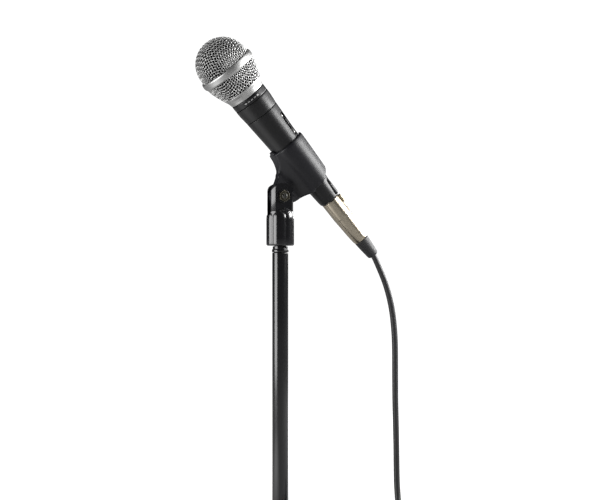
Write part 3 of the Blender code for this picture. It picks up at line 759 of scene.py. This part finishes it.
def woven(name, place, keep, sizes):
    """Two families of wire, over and under each other at every crossing."""
    wire = sizes.wire_diameter / MM
    radius, pitch = sizes.ball_radius / MM - wire, sizes.mesh_pitch / MM
    count = math.ceil(NET_REACH * radius / pitch)
    grid = net(radius, pitch, count)
    swing = wire * WEAVE_SWING
    runs = []
    for family in (0, 1):
        for fixed in range(-count, count + 1):
            run = []
            for moving in range(-count, count):
                a = grid[(fixed, moving) if family else (moving, fixed)]
                b = grid[(fixed, moving + 1) if family else (moving + 1, fixed)]
                sign = 1 if (fixed + moving + family) % 2 else -1
                for k in range(WEAVE_STEPS):
                    t = k / WEAVE_STEPS
                    direction = a.lerp(b, t).normalized()
                    point = place(direction, radius, sign * swing * math.cos(math.pi * t))
                    if keep(direction) and (b - a).length > NET_SHORTEST * pitch / radius:
                        run.append(MIC @ point)
                        continue
                    if len(run) > WEAVE_STEPS:
                        runs.append(run)
                    run = []
            if len(run) > WEAVE_STEPS:
                runs.append(run)
    return wires(name, runs, wire / 2 * MM, 1)


def make_grille(sizes):
    """The woven ball and the woven basket under its band."""
    low = math.cos(DOME_END)
    dome = woven("grille_dome_mesh", dome_point, lambda d: d.z > low, sizes)
    finish(dome, "mesh_wire", "microphone", ["grille_dome"], 180)
    top, bottom = math.cos(BASKET_START), math.cos(BASKET_END)
    basket = woven("grille_basket_mesh", basket_point, lambda d: top < d.z < bottom, sizes)
    finish(basket, "mesh_wire", "microphone", ["grille_basket"], 180)


BAND_LOW, BAND_HIGH = 156.0, 162.8


def make_band_and_collar(sizes):
    """The silver band round the ball and the threaded collar under the basket."""
    r, low, high = sizes.band_radius / MM, BAND_LOW, BAND_HIGH
    band = [
        (25.2, low + 0.3), (26.6, low - 0.1), (r - 0.7, low + 0.1), (r - 0.15, low + 1.2), (r, low + 2.4),
        (r, high - 2.4), (r - 0.15, high - 1.2), (r - 0.7, high - 0.1), (26.6, high + 0.1),
        (25.2, high - 0.3),
    ]
    turned_piece("grille_band_ring", band, 0.5, MIC, "satin_silver", "microphone",
                 "grille_band")
    collar = [
        (15.7, 129.4), (18.3, 129.4), (18.45, 130.2), (18.7, 131.6), (19.45, 134.0), (20.5, 136.2),
        (20.75, 137.2), (20.2, 137.7), (19.4, 137.2), (15.7, 134.6),
    ]
    turned_piece("grille_collar_ring", collar, 0.35, MIC, "satin_silver", "microphone",
                 "grille_collar")


FOAM_GAP, FOAM_WALL = 2.1, 2.0  # from the ball's outside to the foam, and the foam's thickness


def make_foam(sizes):
    """Open-cell foam lining behind the mesh, its surface uneven."""
    outer = sizes.ball_radius / MM - FOAM_GAP
    liner = [(0, DOME_CENTRE + outer)] + arc((0, DOME_CENTRE), outer, 88, -20, 22)
    liner += [(22.9, 152.0), (21.9, 147.6), (20.1, 142.4), (18.8, 139.2)]
    inner = [(max(0, r - FOAM_WALL), h) for r, h in reversed(liner[1:])]
    inner.append((0, DOME_CENTRE + outer - FOAM_WALL))
    foam = solid("foam_lining", spun(liner + inner, 72), MIC)
    finish(foam, "foam", "microphone", ["foam_liner"], 60)


RING_MARKS, RING_MARK_HALF = 5, 1.1  # plain silver dashes printed round the ring
RING_MARK_START, RING_MARK_STEP = math.radians(-108), math.radians(11)


def make_neck():
    """The ring with its printed dashes, and the sleeve that joins it to the handle."""
    ring = [(15.6, 122.9), (17.9, 122.9), (18.25, 123.5), (18.25, 128.2), (17.9, 129.0), (15.6, 129.0)]
    turned_piece("identity_ring", ring, 0.4, MIC, "ring_lacquer", "microphone", "id_ring")
    marks = None
    low, high = (18.05, -RING_MARK_HALF, 125.3), (18.3, RING_MARK_HALF, 126.4)
    for k in range(RING_MARKS):
        step = Matrix.Rotation(RING_MARK_START + k * RING_MARK_STEP, 4, "Z")
        mark = solid(f"ring_mark_{k + 1}", box(low, high, 0.05), MIC @ step)
        marks = join_pieces(marks, mark) if marks else mark
    marks.name = "ring_marks"
    finish(marks, "satin_silver", "microphone")
    sleeve = [(15.4, 107.6), (17.0, 107.6), (17.25, 107.9), (17.6, 111.0), (18.1, 116.0), (18.3, 121.6),
              (18.25, 122.3), (17.9, 122.6), (15.4, 122.6)]
    turned_piece("neck_sleeve_shell", sleeve, 0.25, MIC, "handle_paint", "microphone",
                 "neck_sleeve")


HANDLE_OUTSIDE = [
    (14.9, 107.2), (16.95, 107.2), (17.2, 106.9), (16.95, 101.6), (16.3, 90.0), (15.65, 78.5),
    (15.35, 70.2), (14.2, 50.0), (12.7, 31.0), (11.6, 17.4), (10.7, 4.5), (10.3, 1.2), (9.6, 0.1),
    (8.4, 0.1),
]
HANDLE_INSIDE = [
    (8.4, 15.5), (9.6, 16.5), (10.8, 31.0), (12.4, 50.0), (13.5, 70.2), (14.0, 84.0), (14.9, 100.0),
]
SWITCH_RECESS = (11.6, -6.0, 71.8), (22, 6.0, 97.8)
RIDGE_LOW, RIDGE_HIGH = (5.5, -7.3, 1.2), (11.5, 7.3, 19.8)
RIDGE_SLOT = (9.6, -9.0, 13.2), (10.9, -5.8, 18.4)


def make_handle():
    """The tapered handle with the switch's recess and the ridge at its tail."""
    handle = solid("handle_shell", spun(soften(HANDLE_OUTSIDE + HANDLE_INSIDE, 0.35)), MIC)
    carve(handle, box(*SWITCH_RECESS, 1.6), SWITCH)
    ridge = solid("tail_ridge", box(RIDGE_LOW, RIDGE_HIGH, 2.6, 6), MIC)
    carve(ridge, rod(8.6, -5, 25, 64), MIC)
    handle = join_pieces(handle, ridge)
    carve(handle, box(*RIDGE_SLOT, 0.3), MIC)
    finish(handle, "handle_paint", "microphone", ["handle"])


SWITCH_FLOOR, SWITCH_MIDDLE = 14.0, 84.8
SLIDER_REST = SWITCH_MIDDLE + 2.5
SLIDER_GROOVES = (-1.6, -0.6, 0.4, 1.4)
SCREW_REACH = 9.8  # of each screw from the middle of the plate


def make_switch():
    """The plate, its two screws and the ribbed slider."""
    floor, middle, rest = SWITCH_FLOOR, SWITCH_MIDDLE, SLIDER_REST
    plate = solid("switch_bezel", box((12.4, -5.7, 72.1), (floor, 5.7, 97.5), 0.5), SWITCH)
    carve(plate, box((10, -2.1, middle - 6.4), (18, 2.1, middle + 6.4), 0.4), SWITCH)
    finish(plate, "switch_black", "microphone", ["switch_plate"])
    cap = box((floor + 0.3, -3.2, rest - 3), (floor + 1.9, 3.2, rest + 3), 0.45)
    thumb = solid("switch_thumb", cap, SWITCH)
    for k in SLIDER_GROOVES:
        carve(thumb, box((floor + 1.5, -5, rest + k), (floor + 3, 5, rest + k + 0.4)), SWITCH)
    stem = box((floor - 2.6, -1.7, rest - 1.8), (floor + 0.6, 1.7, rest + 1.8), 0.1)
    thumb = join_pieces(thumb, solid("switch_stem", stem, SWITCH))
    finish(thumb, "dark_plastic", "switch_slider", ["switch_slider"])
    screw_side = [(0, -3.5), (0.8, -3.5), (0.8, 0.2), (1.7, 0.3), (1.45, 0.8), (0, 1.0)]
    for name, h in (("upper", middle + SCREW_REACH), ("lower", middle - SCREW_REACH)):
        head = turned_to(spun(soften(screw_side, 0.2), SMALL_STEPS), (1, 0, 0), (floor, 0, h))
        screw = solid(f"bezel_screw_{name}", head, SWITCH)
        for across, along in ((1.3, 0.18), (0.18, 1.3)):
            slot = box((floor + 0.55, -across, h - along), (floor + 2, across, h + along))
            carve(screw, slot, SWITCH)
        finish(screw, "steel", "microphone", [f"switch_screw_{name}"])


LATCH_GROOVES = (-7.9, -6.5, -5.1, -3.7)
BOOT_END = -70.5


def make_lead_connector():
    """Shell, latch and boot of the connector in the tail."""
    outline = [(9.1, -0.3), (9.3, -0.6), (9.3, -20.4), (9.15, -21.4), (9.15, -22.2), (8.75, -30.6),
               (8.5, -38.6), (7.85, -47.4), (7.4, -49.9), (6.3, -49.9), (6.3, -14.0), (7.1, -12.0),
               (7.1, 13.0), (7.9, 13.0), (7.9, -0.3)]
    shell = solid("connector_shell", spun(soften(outline, 0.3)), MIC)
    carve(shell, box((6.0, -3.6, -18.6), (14, 3.6, -0.9), 0.5), MIC)
    finish(shell, "nickel", "microphone", ["plug_shell"])
    latch = solid("connector_latch", box((8.9, -3.2, -9.3), (11.3, 3.2, -1.5), 0.7), MIC)
    for k in LATCH_GROOVES:
        carve(latch, box((11.0, -5, k), (13, 5, k + 0.55)), MIC)
    tongue = solid("latch_tongue", box((8.2, -2.4, -18.0), (9.4, 2.4, -2.2), 0.3), MIC)
    latch = join_pieces(latch, tongue)
    finish(latch, "latch_metal", "latch", ["latch_lever"])
    boot = [(3.15, -50.2), (7.0, -50.2), (7.25, -50.8), (7.0, -54.5), (6.75, -58.0), (6.3, -62.5),
            (5.9, -67.0), (5.5, -69.6), (4.6, BOOT_END), (3.15, BOOT_END)]
    turned_piece("connector_boot", boot, 0.5, MIC, "rubber", "microphone", "plug_boot")


def web_outline():
    """Side view of the clip's web, from the holder down round the pivot eye, in world millimetres."""
    points = [(-10.5, 377.2), (-7.4, 372.6), (-4.9, 368.1), (-3.5, 363.5), (-3.1, 358.5), (-3.8, 353.1),
              (-5.6, 348.2), (-8.2, 343.6)]
    points += arc((0, PIVOT.z / MM), 10.4, 138, 320, 24)
    return points + [(13.8, 330.9), (18.5, 333.6), (23.5, 336.6), (27.5, 338.4), (30.5, 338.9),
                     (38, 352), (6, 386)]


WEB_HALF = 4.3
TOE_SLOPE, TOE_TURN, TOE_HEIGHT = math.radians(27), math.radians(19), 23.2
FLARE = [
    (-8, -12.6), (-13.5, -12.0), (-23.0, -WEB_HALF + 0.2), (-23.0, WEB_HALF - 0.2), (-13.5, 12.0),
    (-8, 12.6),
]
FLARE_HEIGHT = 40.2
MOULDING_GRAIN = 0.00055  # size of the even mesh that the fillets are smoothed on, in metres
SMOOTHING_ROUNDS = 22
SLIT_FROM, SLIT_TO = 12, -50  # degrees, seen from the tail, between which the holder is open
BOLT_HOLE = 2.8


def pivot_hole(place):
    """The bolt's hole through the clip's eye and the swivel's ears, as a cutting tool."""
    return turned_to(rod(BOLT_HOLE, -20, 20, SMALL_STEPS), (0, 1, 0), place)


def rolled(bm, angle, axis):
    """Turns a shape about an axis through the origin."""
    bmesh.ops.rotate(bm, cent=(0, 0, 0), matrix=Matrix.Rotation(angle, 3, axis), verts=bm.verts)


def make_clip():
    """Split holder blended into its web and eye, one moulding."""
    holder = spun(soften([(0, 20.2), (15.9, 20.2), (16.45, 31.4), (17.6, 52.0), (18.2, 66.0),
                          (18.1, 69.2), (17.2, 70.2), (0, 70.2)], 0.8), FINE_STEPS)
    clip = solid("clip_moulding", holder, SEAT)
    carve(clip, extruded(web_outline(), WEB_HALF), WORLD, "UNION")
    flare = extruded(FLARE, 30)
    rolled(flare, -math.pi / 2, "X")
    bmesh.ops.translate(flare, vec=(0, 0, FLARE_HEIGHT), verts=flare.verts)
    root = solid("web_root", flare, SEAT)
    carve(root, extruded(web_outline(), 20), WORLD, "INTERSECT")
    clip = join_pieces(clip, root)
    step = clip.modifiers.new("even_mesh", "REMESH")
    step.mode, step.voxel_size = "VOXEL", MOULDING_GRAIN
    evaluated(clip)
    blend_in(clip)
    room = spun([(0, -40), (11.3, -40), (12.3, 20.2), (13.0, 31.0), (14.5, 50.0), (15.65, 69.0),
                 (16.2, 71.0), (16.4, 100), (0, 100)], FINE_STEPS)
    carve(clip, room, SEAT)
    slit = extruded([(0, 0)] + arc((0, 0), 40, SLIT_FROM, SLIT_TO, 6), 60)
    rolled(slit, math.pi / 2, "X")
    bmesh.ops.translate(slit, vec=(0, 0, 45), verts=slit.verts)
    carve(clip, slit, SEAT)
    toe = box((-60, -60, -40), (60, 60, 0))
    rolled(toe, -TOE_SLOPE, "Y")
    rolled(toe, TOE_TURN, "Z")
    bmesh.ops.translate(toe, vec=(0, 0, TOE_HEIGHT), verts=toe.verts)
    carve(clip, toe, SEAT)
    carve(clip, pivot_hole(PIVOT / MM), WORLD)
    finish(clip, "clip_plastic", "microphone", ["clip_holder"], 40)


def blend_in(piece):
    """Smooths the moulding, most of all where the web runs into the holder, which makes its fillets."""
    bm = bmesh.new()
    bm.from_mesh(piece.data)
    to_seat = SEAT.inverted()
    near = []
    for vert in bm.verts:
        p = to_seat @ vert.co
        radial = math.hypot(p.x, p.y)
        if radial < 26 and p.x < 0 and 12 < p.z < 76:
            near.append(vert)
    every_way = {"factor": 0.5, "use_axis_x": True, "use_axis_y": True, "use_axis_z": True}
    for _ in range(SMOOTHING_ROUNDS):
        bmesh.ops.smooth_vert(bm, verts=near, **every_way)
    bmesh.ops.smooth_vert(bm, verts=bm.verts, **every_way)
    bm.to_mesh(piece.data)
    bm.free()


# Swivel and stand ----------------------------------------------------------------------------

LOBES, LOBE_TURN = 6, math.radians(-115.8)
LOBE_OUT, LOBE_RADIUS = 5.0, 8.7  # each lobe's centre from the axis, and its own radius
LOBE_SHOULDER, LOBE_CROWN = 314.0, 14.0  # where lobes start to round off, and their height if whole
FOOT_ROUND = 1.6
GRIP_FOOT, LEDGE_LOW, GRIP_TOP = 289.0, 321.6, 324.9
CORE_RADIUS, LEDGE_RADIUS = 12.3, 9.2
OUTLINE_POINTS = 144
GRIP_HEIGHTS = (
    289.0, 289.15, 289.5, 290.0, 290.6, 296, 302, 308, 313.5, 314.5, 315.5, 316.3, 317.1, 317.8, 318.5,
    319.1, 319.7, 320.2, 320.7, 321.1, 321.35, 321.6, 323.2, 324.9,
)


def grip_ring(height):
    """Plan of the grip at a height: convex lobes round a plain core."""
    rise = max(0.0, height - LOBE_SHOULDER) / LOBE_CROWN
    drop = max(0.0, 1 - (height - GRIP_FOOT) / FOOT_ROUND)
    tuck = FOOT_ROUND * (1 - math.sqrt(1 - drop * drop))
    lobe = LOBE_RADIUS * math.sqrt(1 - rise * rise) - tuck
    slope = max(0.0, height - LEDGE_LOW) / (GRIP_TOP - LEDGE_LOW)
    core = CORE_RADIUS + (LEDGE_RADIUS - CORE_RADIUS) * slope - tuck
    ring = []
    for k in range(OUTLINE_POINTS):
        angle = LOBE_TURN + math.tau * k / OUTLINE_POINTS
        off = math.remainder(angle - LOBE_TURN, math.tau / LOBES)
        rest = max(0.0, lobe ** 2 - (LOBE_OUT * math.sin(off)) ** 2)
        reach = LOBE_OUT * math.cos(off) + math.sqrt(rest)
        radius = core if slope else max(core, reach)
        ring.append((radius * math.cos(angle), radius * math.sin(angle), height))
    return ring


def lobed_grip():
    """The grip as rings of points joined up its height."""
    bm = bmesh.new()
    rings = [[bm.verts.new(point) for point in grip_ring(height)] for height in GRIP_HEIGHTS]
    for low, high in zip(rings, rings[1:]):
        for k in range(OUTLINE_POINTS):
            after = (k + 1) % OUTLINE_POINTS
            bm.faces.new((low[k], low[after], high[after], high[k]))
    bm.faces.new(rings[0][::-1])
    bm.faces.new(rings[-1])
    bmesh.ops.recalc_face_normals(bm, faces=bm.faces)
    return bm


EAR_HALF, EAR_GAP_HALF, EAR_RADIUS = 9.2, 4.7, 12.3
SEAT_DEPTH = 8.3  # from the middle of the ears to the floor of each one's round seat


def make_swivel():
    """Lobed swivel with two ears, and the bolt, washer and nut through them."""
    swivel = solid("swivel_fork", lobed_grip(), WORLD)
    column = [(0, 315), (12.1, 315), (12.1, 321.4), (12.35, 322.0), (12.3, 349), (0, 349)]
    ears = solid("ears", spun(column, FINE_STEPS), WORLD)
    z = PIVOT.z / MM
    side = [(-12.6, 314), (12.6, 314)] + arc((0, z), EAR_RADIUS, 0, 180, 32)
    carve(ears, extruded(side, EAR_HALF), WORLD, "INTERSECT")
    swivel = join_pieces(swivel, ears)
    carve(swivel, box((-30, -EAR_GAP_HALF, 318), (30, EAR_GAP_HALF, 380)), WORLD)
    for facing in (-1, 1):
        seat = spun([(0, 0), (6.9, 0), (7.1, 6), (0, 6)], 48)
        carve(swivel, turned_to(seat, (0, facing, 0), (0, facing * SEAT_DEPTH, z)), WORLD)
    carve(swivel, pivot_hole((0, 0, z)), WORLD)
    carve(swivel, rod(7.5, 280, 306, 48), WORLD)
    bevelled(swivel, 0.4, 3, 40)
    finish(swivel, "gloss_black", "stand", ["swivel_base"])
    make_pivot_hardware(z)


def make_pivot_hardware(z):
    """Bolt with a socket in its head and a slot in its end, plain washer and domed nut."""
    across = (0, -1, 0)
    place = (0, 0, z)
    bolt = spun(soften([(0, -12.4), (3.2, -12.4), (4.4, -11.4), (4.4, -9.7), (2.5, -9.7), (2.5, 12.4),
                        (2.1, 12.8), (0, 12.8)], 0.3), SMALL_STEPS)
    piece = solid("pivot_bolt_turned", turned_to(bolt, across, place), WORLD)
    carve(piece, box((-0.5, -14, z - 6), (0.5, -12.3, z + 6)), WORLD)
    carve(piece, turned_to(hexagon(2.0, 0, 3), (0, 1, 0), (0, 10.4, z)), WORLD)
    finish(piece, "dark_steel", "stand", ["pivot_bolt"])
    washer = spun(soften([(2.8, 8.5), (6.3, 8.5), (6.3, 9.3), (2.8, 9.3)], 0.2), 48)
    piece = solid("pivot_washer", turned_to(washer, across, place), WORLD)
    finish(piece, "gloss_black", "stand", ["nut_washer"])
    nut = solid("pivot_hex_nut", turned_to(hexagon(5.6, 9.5, 12.1), across, place), WORLD)
    dome = spun([(0, 9.0), (5.1, 9.0), (5.6, 9.9), (5.6, 11.5), (4.7, 12.3), (0, 12.3)], 48)
    carve(nut, turned_to(dome, across, place), WORLD, "INTERSECT")
    carve(nut, turned_to(rod(BOLT_HOLE, 0, 20, SMALL_STEPS), across, place), WORLD)
    finish(nut, "dark_brass", "stand", ["pivot_nut"])


FEET = 4


def make_stand():
    """Threaded neck, upright, weighted base and its rubber feet."""
    stud = [
        (0, 255.0), (6.0, 255.0), (6.0, 282.8), (7.4, 282.8), (7.95, 283.2), (7.95, 285.1), (7.6, 285.6),
        (7.2, 286.1), (7.2, 288.6), (5.5, 288.6), (5.5, 304.0), (0, 304.0),
    ]
    tube = [(6.4, 12.0), (7.65, 12.0), (7.65, 282.2), (7.35, 282.6), (6.4, 282.6)]
    base = [
        (8.0, 11.7), (5.4, 11.7), (5.4, 7.0), (14.0, 7.0), (14.0, 2.0), (103.5, 2.0), (105.0, 3.4),
        (105.0, 7.0), (104.0, 9.0), (101.0, 10.2), (96, 10.6), (80, 11.8), (50, 13.8), (26, 16.2),
        (19.5, 18.0), (16, 20.8), (14.9, 24.5), (13.8, 26.0), (8.0, 26.0),
    ]
    for name, outline, rounding, replaced, steps in (
        ("stand_neck", stud, 0.25, "stand_stud", 64),
        ("stand_upright", tube, 0.3, "stand_tube", 64),
        ("weighted_base", base, 1.2, "base_plate", 160),
    ):
        turned_piece(name, outline, rounding, WORLD, "gloss_black", "stand", replaced, steps)
    for k in range(FEET):
        name = f"foot_{k + 1}"
        low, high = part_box(name)
        middle = (low + high) / 2 / MM
        foot = spun(soften([(0, 0), (8.2, 0), (9.0, 0.8), (9.0, 1.7), (0, 1.7)], 0.3), 48)
        piece = solid(f"rubber_{name}", turned_to(foot, (0, 0, 1), (middle.x, middle.y, 0)), WORLD)
        finish(piece, "rubber", "stand", [name])


FAR_START = Vector((82.0, -122.0, 9.6))
FAR_FACE = 74.6  # from the boot's end to the connector's face
FAR_AXIS = (-1, 0, 0)


def make_far_connector():
    """The connector at the lead's other end, lying on the surface."""
    boot = [
        (3.1, 0.1), (4.6, 0.1), (5.5, 1.2), (5.9, 3.6), (6.3, 8.0), (6.8, 13.0), (7.2, 19.6), (7.0, 20.3),
        (3.1, 20.3),
    ]
    shell = [
        (3.4, 20.6), (7.4, 20.6), (7.85, 23.0), (8.5, 31.6), (9.2, 47.6), (9.2, 49.0), (9.6, 49.8),
        (9.6, FAR_FACE - 0.6), (9.4, FAR_FACE), (8.3, FAR_FACE), (8.3, 60.6), (3.4, 60.6),
    ]
    made = []
    for name, outline, rounding, look, slot, replaced in (
        ("far_boot", boot, 0.5, "rubber", "black_rubber", "far_plug_boot"),
        ("far_shell", shell, 0.35, "nickel", "champagne_nickel", "far_plug_shell"),
    ):
        piece = solid(name, turned_to(spun(soften(outline, rounding)), FAR_AXIS, FAR_START), WORLD)
        made.append(finish(piece, look, "stand", [replaced]))
    return made


TIE_TURN = math.radians(-35)


def make_tie(sizes):
    """Hook-and-loop strap round the stored turns."""
    half = sizes.coil_layers / 2 * sizes.cable_diameter / MM + 0.2
    top = sizes.coil_layers * sizes.cable_diameter / MM + 0.3
    r = sizes.coil_radius / MM
    strap = box((r - half - 2.2, -5.0, 0.3), (r + half + 1.8, 5.0, top + 1.5), 2.4, 5)
    tie = solid("lead_tie", strap, WORLD)
    carve(tie, box((r - half - 0.9, -9, -4), (r + half + 0.5, 9, top + 0.2), 1.8, 4), WORLD)
    turn = Matrix.Translation((*COIL_CENTRE, 0)) @ Matrix.Rotation(TIE_TURN, 4, "Z")
    tie.data.transform(turn)
    finish(tie, "clip_plastic", "stand", ["cable_tie"])
    return tie


def paint_solids():
    """Finishes the frame's own solids that stay in view or inside."""
    slots = {part["node"]: part["material_slot"] for part in frame["record"]["subparts"]}
    for name, piece in frame["nodes"].items():
        piece.data.materials.clear()
        piece.data.materials.append(MATERIALS[SLOT_FINISH[slots[name]]])


# Stage ---------------------------------------------------------------------------------------

CAMERA_PLACE = (-0.5445, -1.3978, 0.285)
CAMERA_TURN = math.radians(22)
LENS = 94.7


ROOM_LIGHT = 0.09
# Painted pool of light: a patch of floor left of the stand glows, seen only in reflections and bounce, and
# brightens the microphone's left sides.
PAINTED_POOL_GLOW, PAINTED_POOL_CENTRE = 1.7, (-0.42, -0.04, 0.0)
FLOOR_SEEN_PAINTED_SHADE = (0.15, 0.7, 0.72, 1.1)  # near and far distances from the stand, then the glow at each: the weaker glow near the stand is painted shade round it
# painted pool: near and far distances from its centre, then its glow at each
PAINTED_POOL_FALLOFF = (0.12, 0.34, PAINTED_POOL_GLOW, 0.25)
LIGHTS = (
    ("left_panel", (-1.60, -0.10, 0.36), (0.0, 0.0, 0.30), (1.2, 0.9), 24),
    ("right_panel", (1.30, -0.50, 1.05), (0.0, -0.2, 0.42), (2.5, 0.9), 12),
    ("side_strip", (1.29, -0.48, 0.76), (0.0, 0.0, 0.36), (1.1, 0.42), 34),
    ("rear_panel", (1.42, 0.69, 0.60), (0.0, 0.0, 0.36), (0.9, 0.45), 10),
    ("top_panel", (0.62, -0.80, 1.80), (0.0, 0.0, 0.36), (1.4, 1.2), 15),
)
SKY_SEEN = 1.1  # strength of the backdrop as the camera sees it


def make_camera():
    """The camera, level and in front of the microphone, turned a little to its side."""
    data = bpy.data.cameras.new("camera")
    data.lens = LENS
    data.sensor_width = 36.0
    data.clip_start, data.clip_end = 0.05, 50.0
    camera = bpy.data.objects.new("camera", data)
    camera.location = CAMERA_PLACE
    camera.rotation_euler = (math.pi / 2, 0, -CAMERA_TURN)
    bpy.context.scene.collection.objects.link(camera)
    bpy.context.scene.camera = camera


def area_light(name, place, target, size, energy):
    """A rectangular lamp turned to a target."""
    data = bpy.data.lights.new(name, "AREA")
    data.shape = "RECTANGLE"
    data.size, data.size_y = size
    data.energy = energy
    light = bpy.data.objects.new(name, data)
    light.location = place
    light.rotation_euler = (Vector(target) - Vector(place)).to_track_quat("-Z", "Y").to_euler()
    bpy.context.scene.collection.objects.link(light)


def make_stage():
    """The pale floor, the backdrop and the lamps."""
    bpy.context.scene.view_settings.view_transform = "Standard"
    bm = bmesh.new()
    bmesh.ops.create_grid(bm, x_segments=8, y_segments=8, size=12)
    floor = solid("floor", bm, Matrix.Identity(4))
    floor.data.materials.append(make_floor_painted_light())
    world = bpy.data.worlds.new("studio")
    world.use_nodes = True
    tree = world.node_tree
    background = tree.nodes["Background"]
    background.inputs["Color"].default_value = (1, 1, 1, 1)
    seen = tree.nodes.new("ShaderNodeLightPath")
    strength = tree.nodes.new("ShaderNodeMapRange")
    strength.inputs["To Min"].default_value = ROOM_LIGHT
    strength.inputs["To Max"].default_value = SKY_SEEN
    tree.links.new(seen.outputs["Is Camera Ray"], strength.inputs["Value"])
    tree.links.new(strength.outputs["Result"], background.inputs["Strength"])
    bpy.context.scene.world = world
    for name, place, target, size, energy in LIGHTS:
        area_light(name, place, target, size, energy)


def make_floor_painted_light():
    """Pale paper that glows white away from the stand and glows less near it, which is painted shade round the
    stand on top of the lamps' own soft shadow; a second glow, seen only in reflections and bounce, is a painted
    pool of light left of the stand.
    """
    paper = bpy.data.materials.new("pale_floor_painted_light")
    paper.use_nodes = True
    tree = paper.node_tree
    shader = tree.nodes["Principled BSDF"]
    shader.inputs["Base Color"].default_value = (0.22, 0.22, 0.22, 1)
    shader.inputs["Roughness"].default_value = 0.9
    shader.inputs["Specular IOR Level"].default_value = 0.1
    shader.inputs["Emission Color"].default_value = (1, 1, 1, 1)
    where = tree.nodes.new("ShaderNodeTexCoord").outputs["Object"]
    fars = []
    for centre in ((0, 0, 0), PAINTED_POOL_CENTRE):
        far = tree.nodes.new("ShaderNodeVectorMath")
        far.operation = "DISTANCE"
        far.inputs[1].default_value = centre
        tree.links.new(where, far.inputs[0])
        fars.append(far)
    seen = tree.nodes.new("ShaderNodeLightPath")
    glows = []
    for far, (near, away, low, high) in zip(fars, (FLOOR_SEEN_PAINTED_SHADE, PAINTED_POOL_FALLOFF)):
        glow = tree.nodes.new("ShaderNodeMapRange")
        glow.inputs["From Min"].default_value = near
        glow.inputs["From Max"].default_value = away
        glow.inputs["To Min"].default_value = low
        glow.inputs["To Max"].default_value = high
        tree.links.new(far.outputs["Value"], glow.inputs["Value"])
        glows.append(glow.outputs["Result"])
    # camera rays see the floor with its painted shade near the stand; every other ray sees the painted pool of
    # light
    pick = tree.nodes.new("ShaderNodeMix")
    tree.links.new(seen.outputs["Is Camera Ray"], pick.inputs[0])
    tree.links.new(glows[1], pick.inputs[2])
    tree.links.new(glows[0], pick.inputs[3])
    tree.links.new(pick.outputs[0], shader.inputs["Emission Strength"])
    return paper


# Operators, panel and run --------------------------------------------------------------------

def sizes_of(context):
    return context.scene.microphone_sizes


class MICROPHONE_OT_materials(bpy.types.Operator):
    """Make every finish of the microphone and stand"""

    bl_idname = "microphone.materials"
    bl_label = "Materials"

    def execute(self, context):
        make_materials(context.scene.microphone_colours)
        paint_solids()
        return {"FINISHED"}


class MICROPHONE_OT_stage(bpy.types.Operator):
    """Set up the camera, the pale floor and the studio lights"""

    bl_idname = "microphone.stage"
    bl_label = "Stage"

    def execute(self, context):
        make_camera()
        make_stage()
        return {"FINISHED"}


class MICROPHONE_OT_lead(bpy.types.Operator):
    """Make the lead with its stored coil, tie and far connector"""

    bl_idname = "microphone.lead"
    bl_label = "Lead"

    def execute(self, context):
        sizes = sizes_of(context)
        lead, path = make_lead(sizes)
        tie = make_tie(sizes)
        ends = make_far_connector()
        return {"FINISHED"}


class MICROPHONE_OT_grille(bpy.types.Operator):
    """Weave the ball and basket, and make their band, collar and foam lining"""

    bl_idname = "microphone.grille"
    bl_label = "Grille"

    def execute(self, context):
        sizes = sizes_of(context)
        make_grille(sizes)
        make_band_and_collar(sizes)
        make_foam(sizes)
        return {"FINISHED"}


class MICROPHONE_OT_handle(bpy.types.Operator):
    """Make the neck, handle and slide switch"""

    bl_idname = "microphone.handle"
    bl_label = "Handle and Switch"

    def execute(self, context):
        make_neck()
        make_handle()
        make_switch()
        return {"FINISHED"}


class MICROPHONE_OT_connector(bpy.types.Operator):
    """Make the connector plugged into the tail"""

    bl_idname = "microphone.connector"
    bl_label = "Connector"

    def execute(self, context):
        make_lead_connector()
        return {"FINISHED"}


class MICROPHONE_OT_clip(bpy.types.Operator):
    """Make the clip, its swivel and the pivot hardware"""

    bl_idname = "microphone.clip"
    bl_label = "Clip and Swivel"

    def execute(self, context):
        make_clip()
        make_swivel()
        return {"FINISHED"}


class MICROPHONE_OT_stand(bpy.types.Operator):
    """Make the stand's neck, upright, base and feet"""

    bl_idname = "microphone.stand"
    bl_label = "Stand"

    def execute(self, context):
        make_stand()
        return {"FINISHED"}


OPERATORS = (
    MICROPHONE_OT_materials, MICROPHONE_OT_stage, MICROPHONE_OT_lead, MICROPHONE_OT_grille,
    MICROPHONE_OT_handle, MICROPHONE_OT_connector, MICROPHONE_OT_clip, MICROPHONE_OT_stand,
)


class MICROPHONE_PT_panel(bpy.types.Panel):
    """Sizes, colours and steps of the microphone"""

    bl_label = "Stand Microphone"
    bl_idname = "MICROPHONE_PT_panel"
    bl_space_type = "VIEW_3D"
    bl_region_type = "UI"
    bl_category = "Microphone"

    def draw(self, context):
        for settings in (context.scene.microphone_sizes, context.scene.microphone_colours):
            column = self.layout.column()
            for name in settings.__annotations__:
                column.prop(settings, name)
        for operator in OPERATORS:
            self.layout.operator(operator.bl_idname)


CLASSES = (MicrophoneSizes, MicrophoneColours, *OPERATORS, MICROPHONE_PT_panel)


def register():
    for item in CLASSES:
        bpy.utils.register_class(item)
    bpy.types.Scene.microphone_sizes = bpy.props.PointerProperty(type=MicrophoneSizes)
    bpy.types.Scene.microphone_colours = bpy.props.PointerProperty(type=MicrophoneColours)


def unregister():
    del bpy.types.Scene.microphone_colours
    del bpy.types.Scene.microphone_sizes
    for item in reversed(CLASSES):
        bpy.utils.unregister_class(item)


def main():
    register()
    for operator in OPERATORS:
        getattr(bpy.ops.microphone, operator.bl_idname.split(".")[1])()


if __name__ == "__main__":
    main()
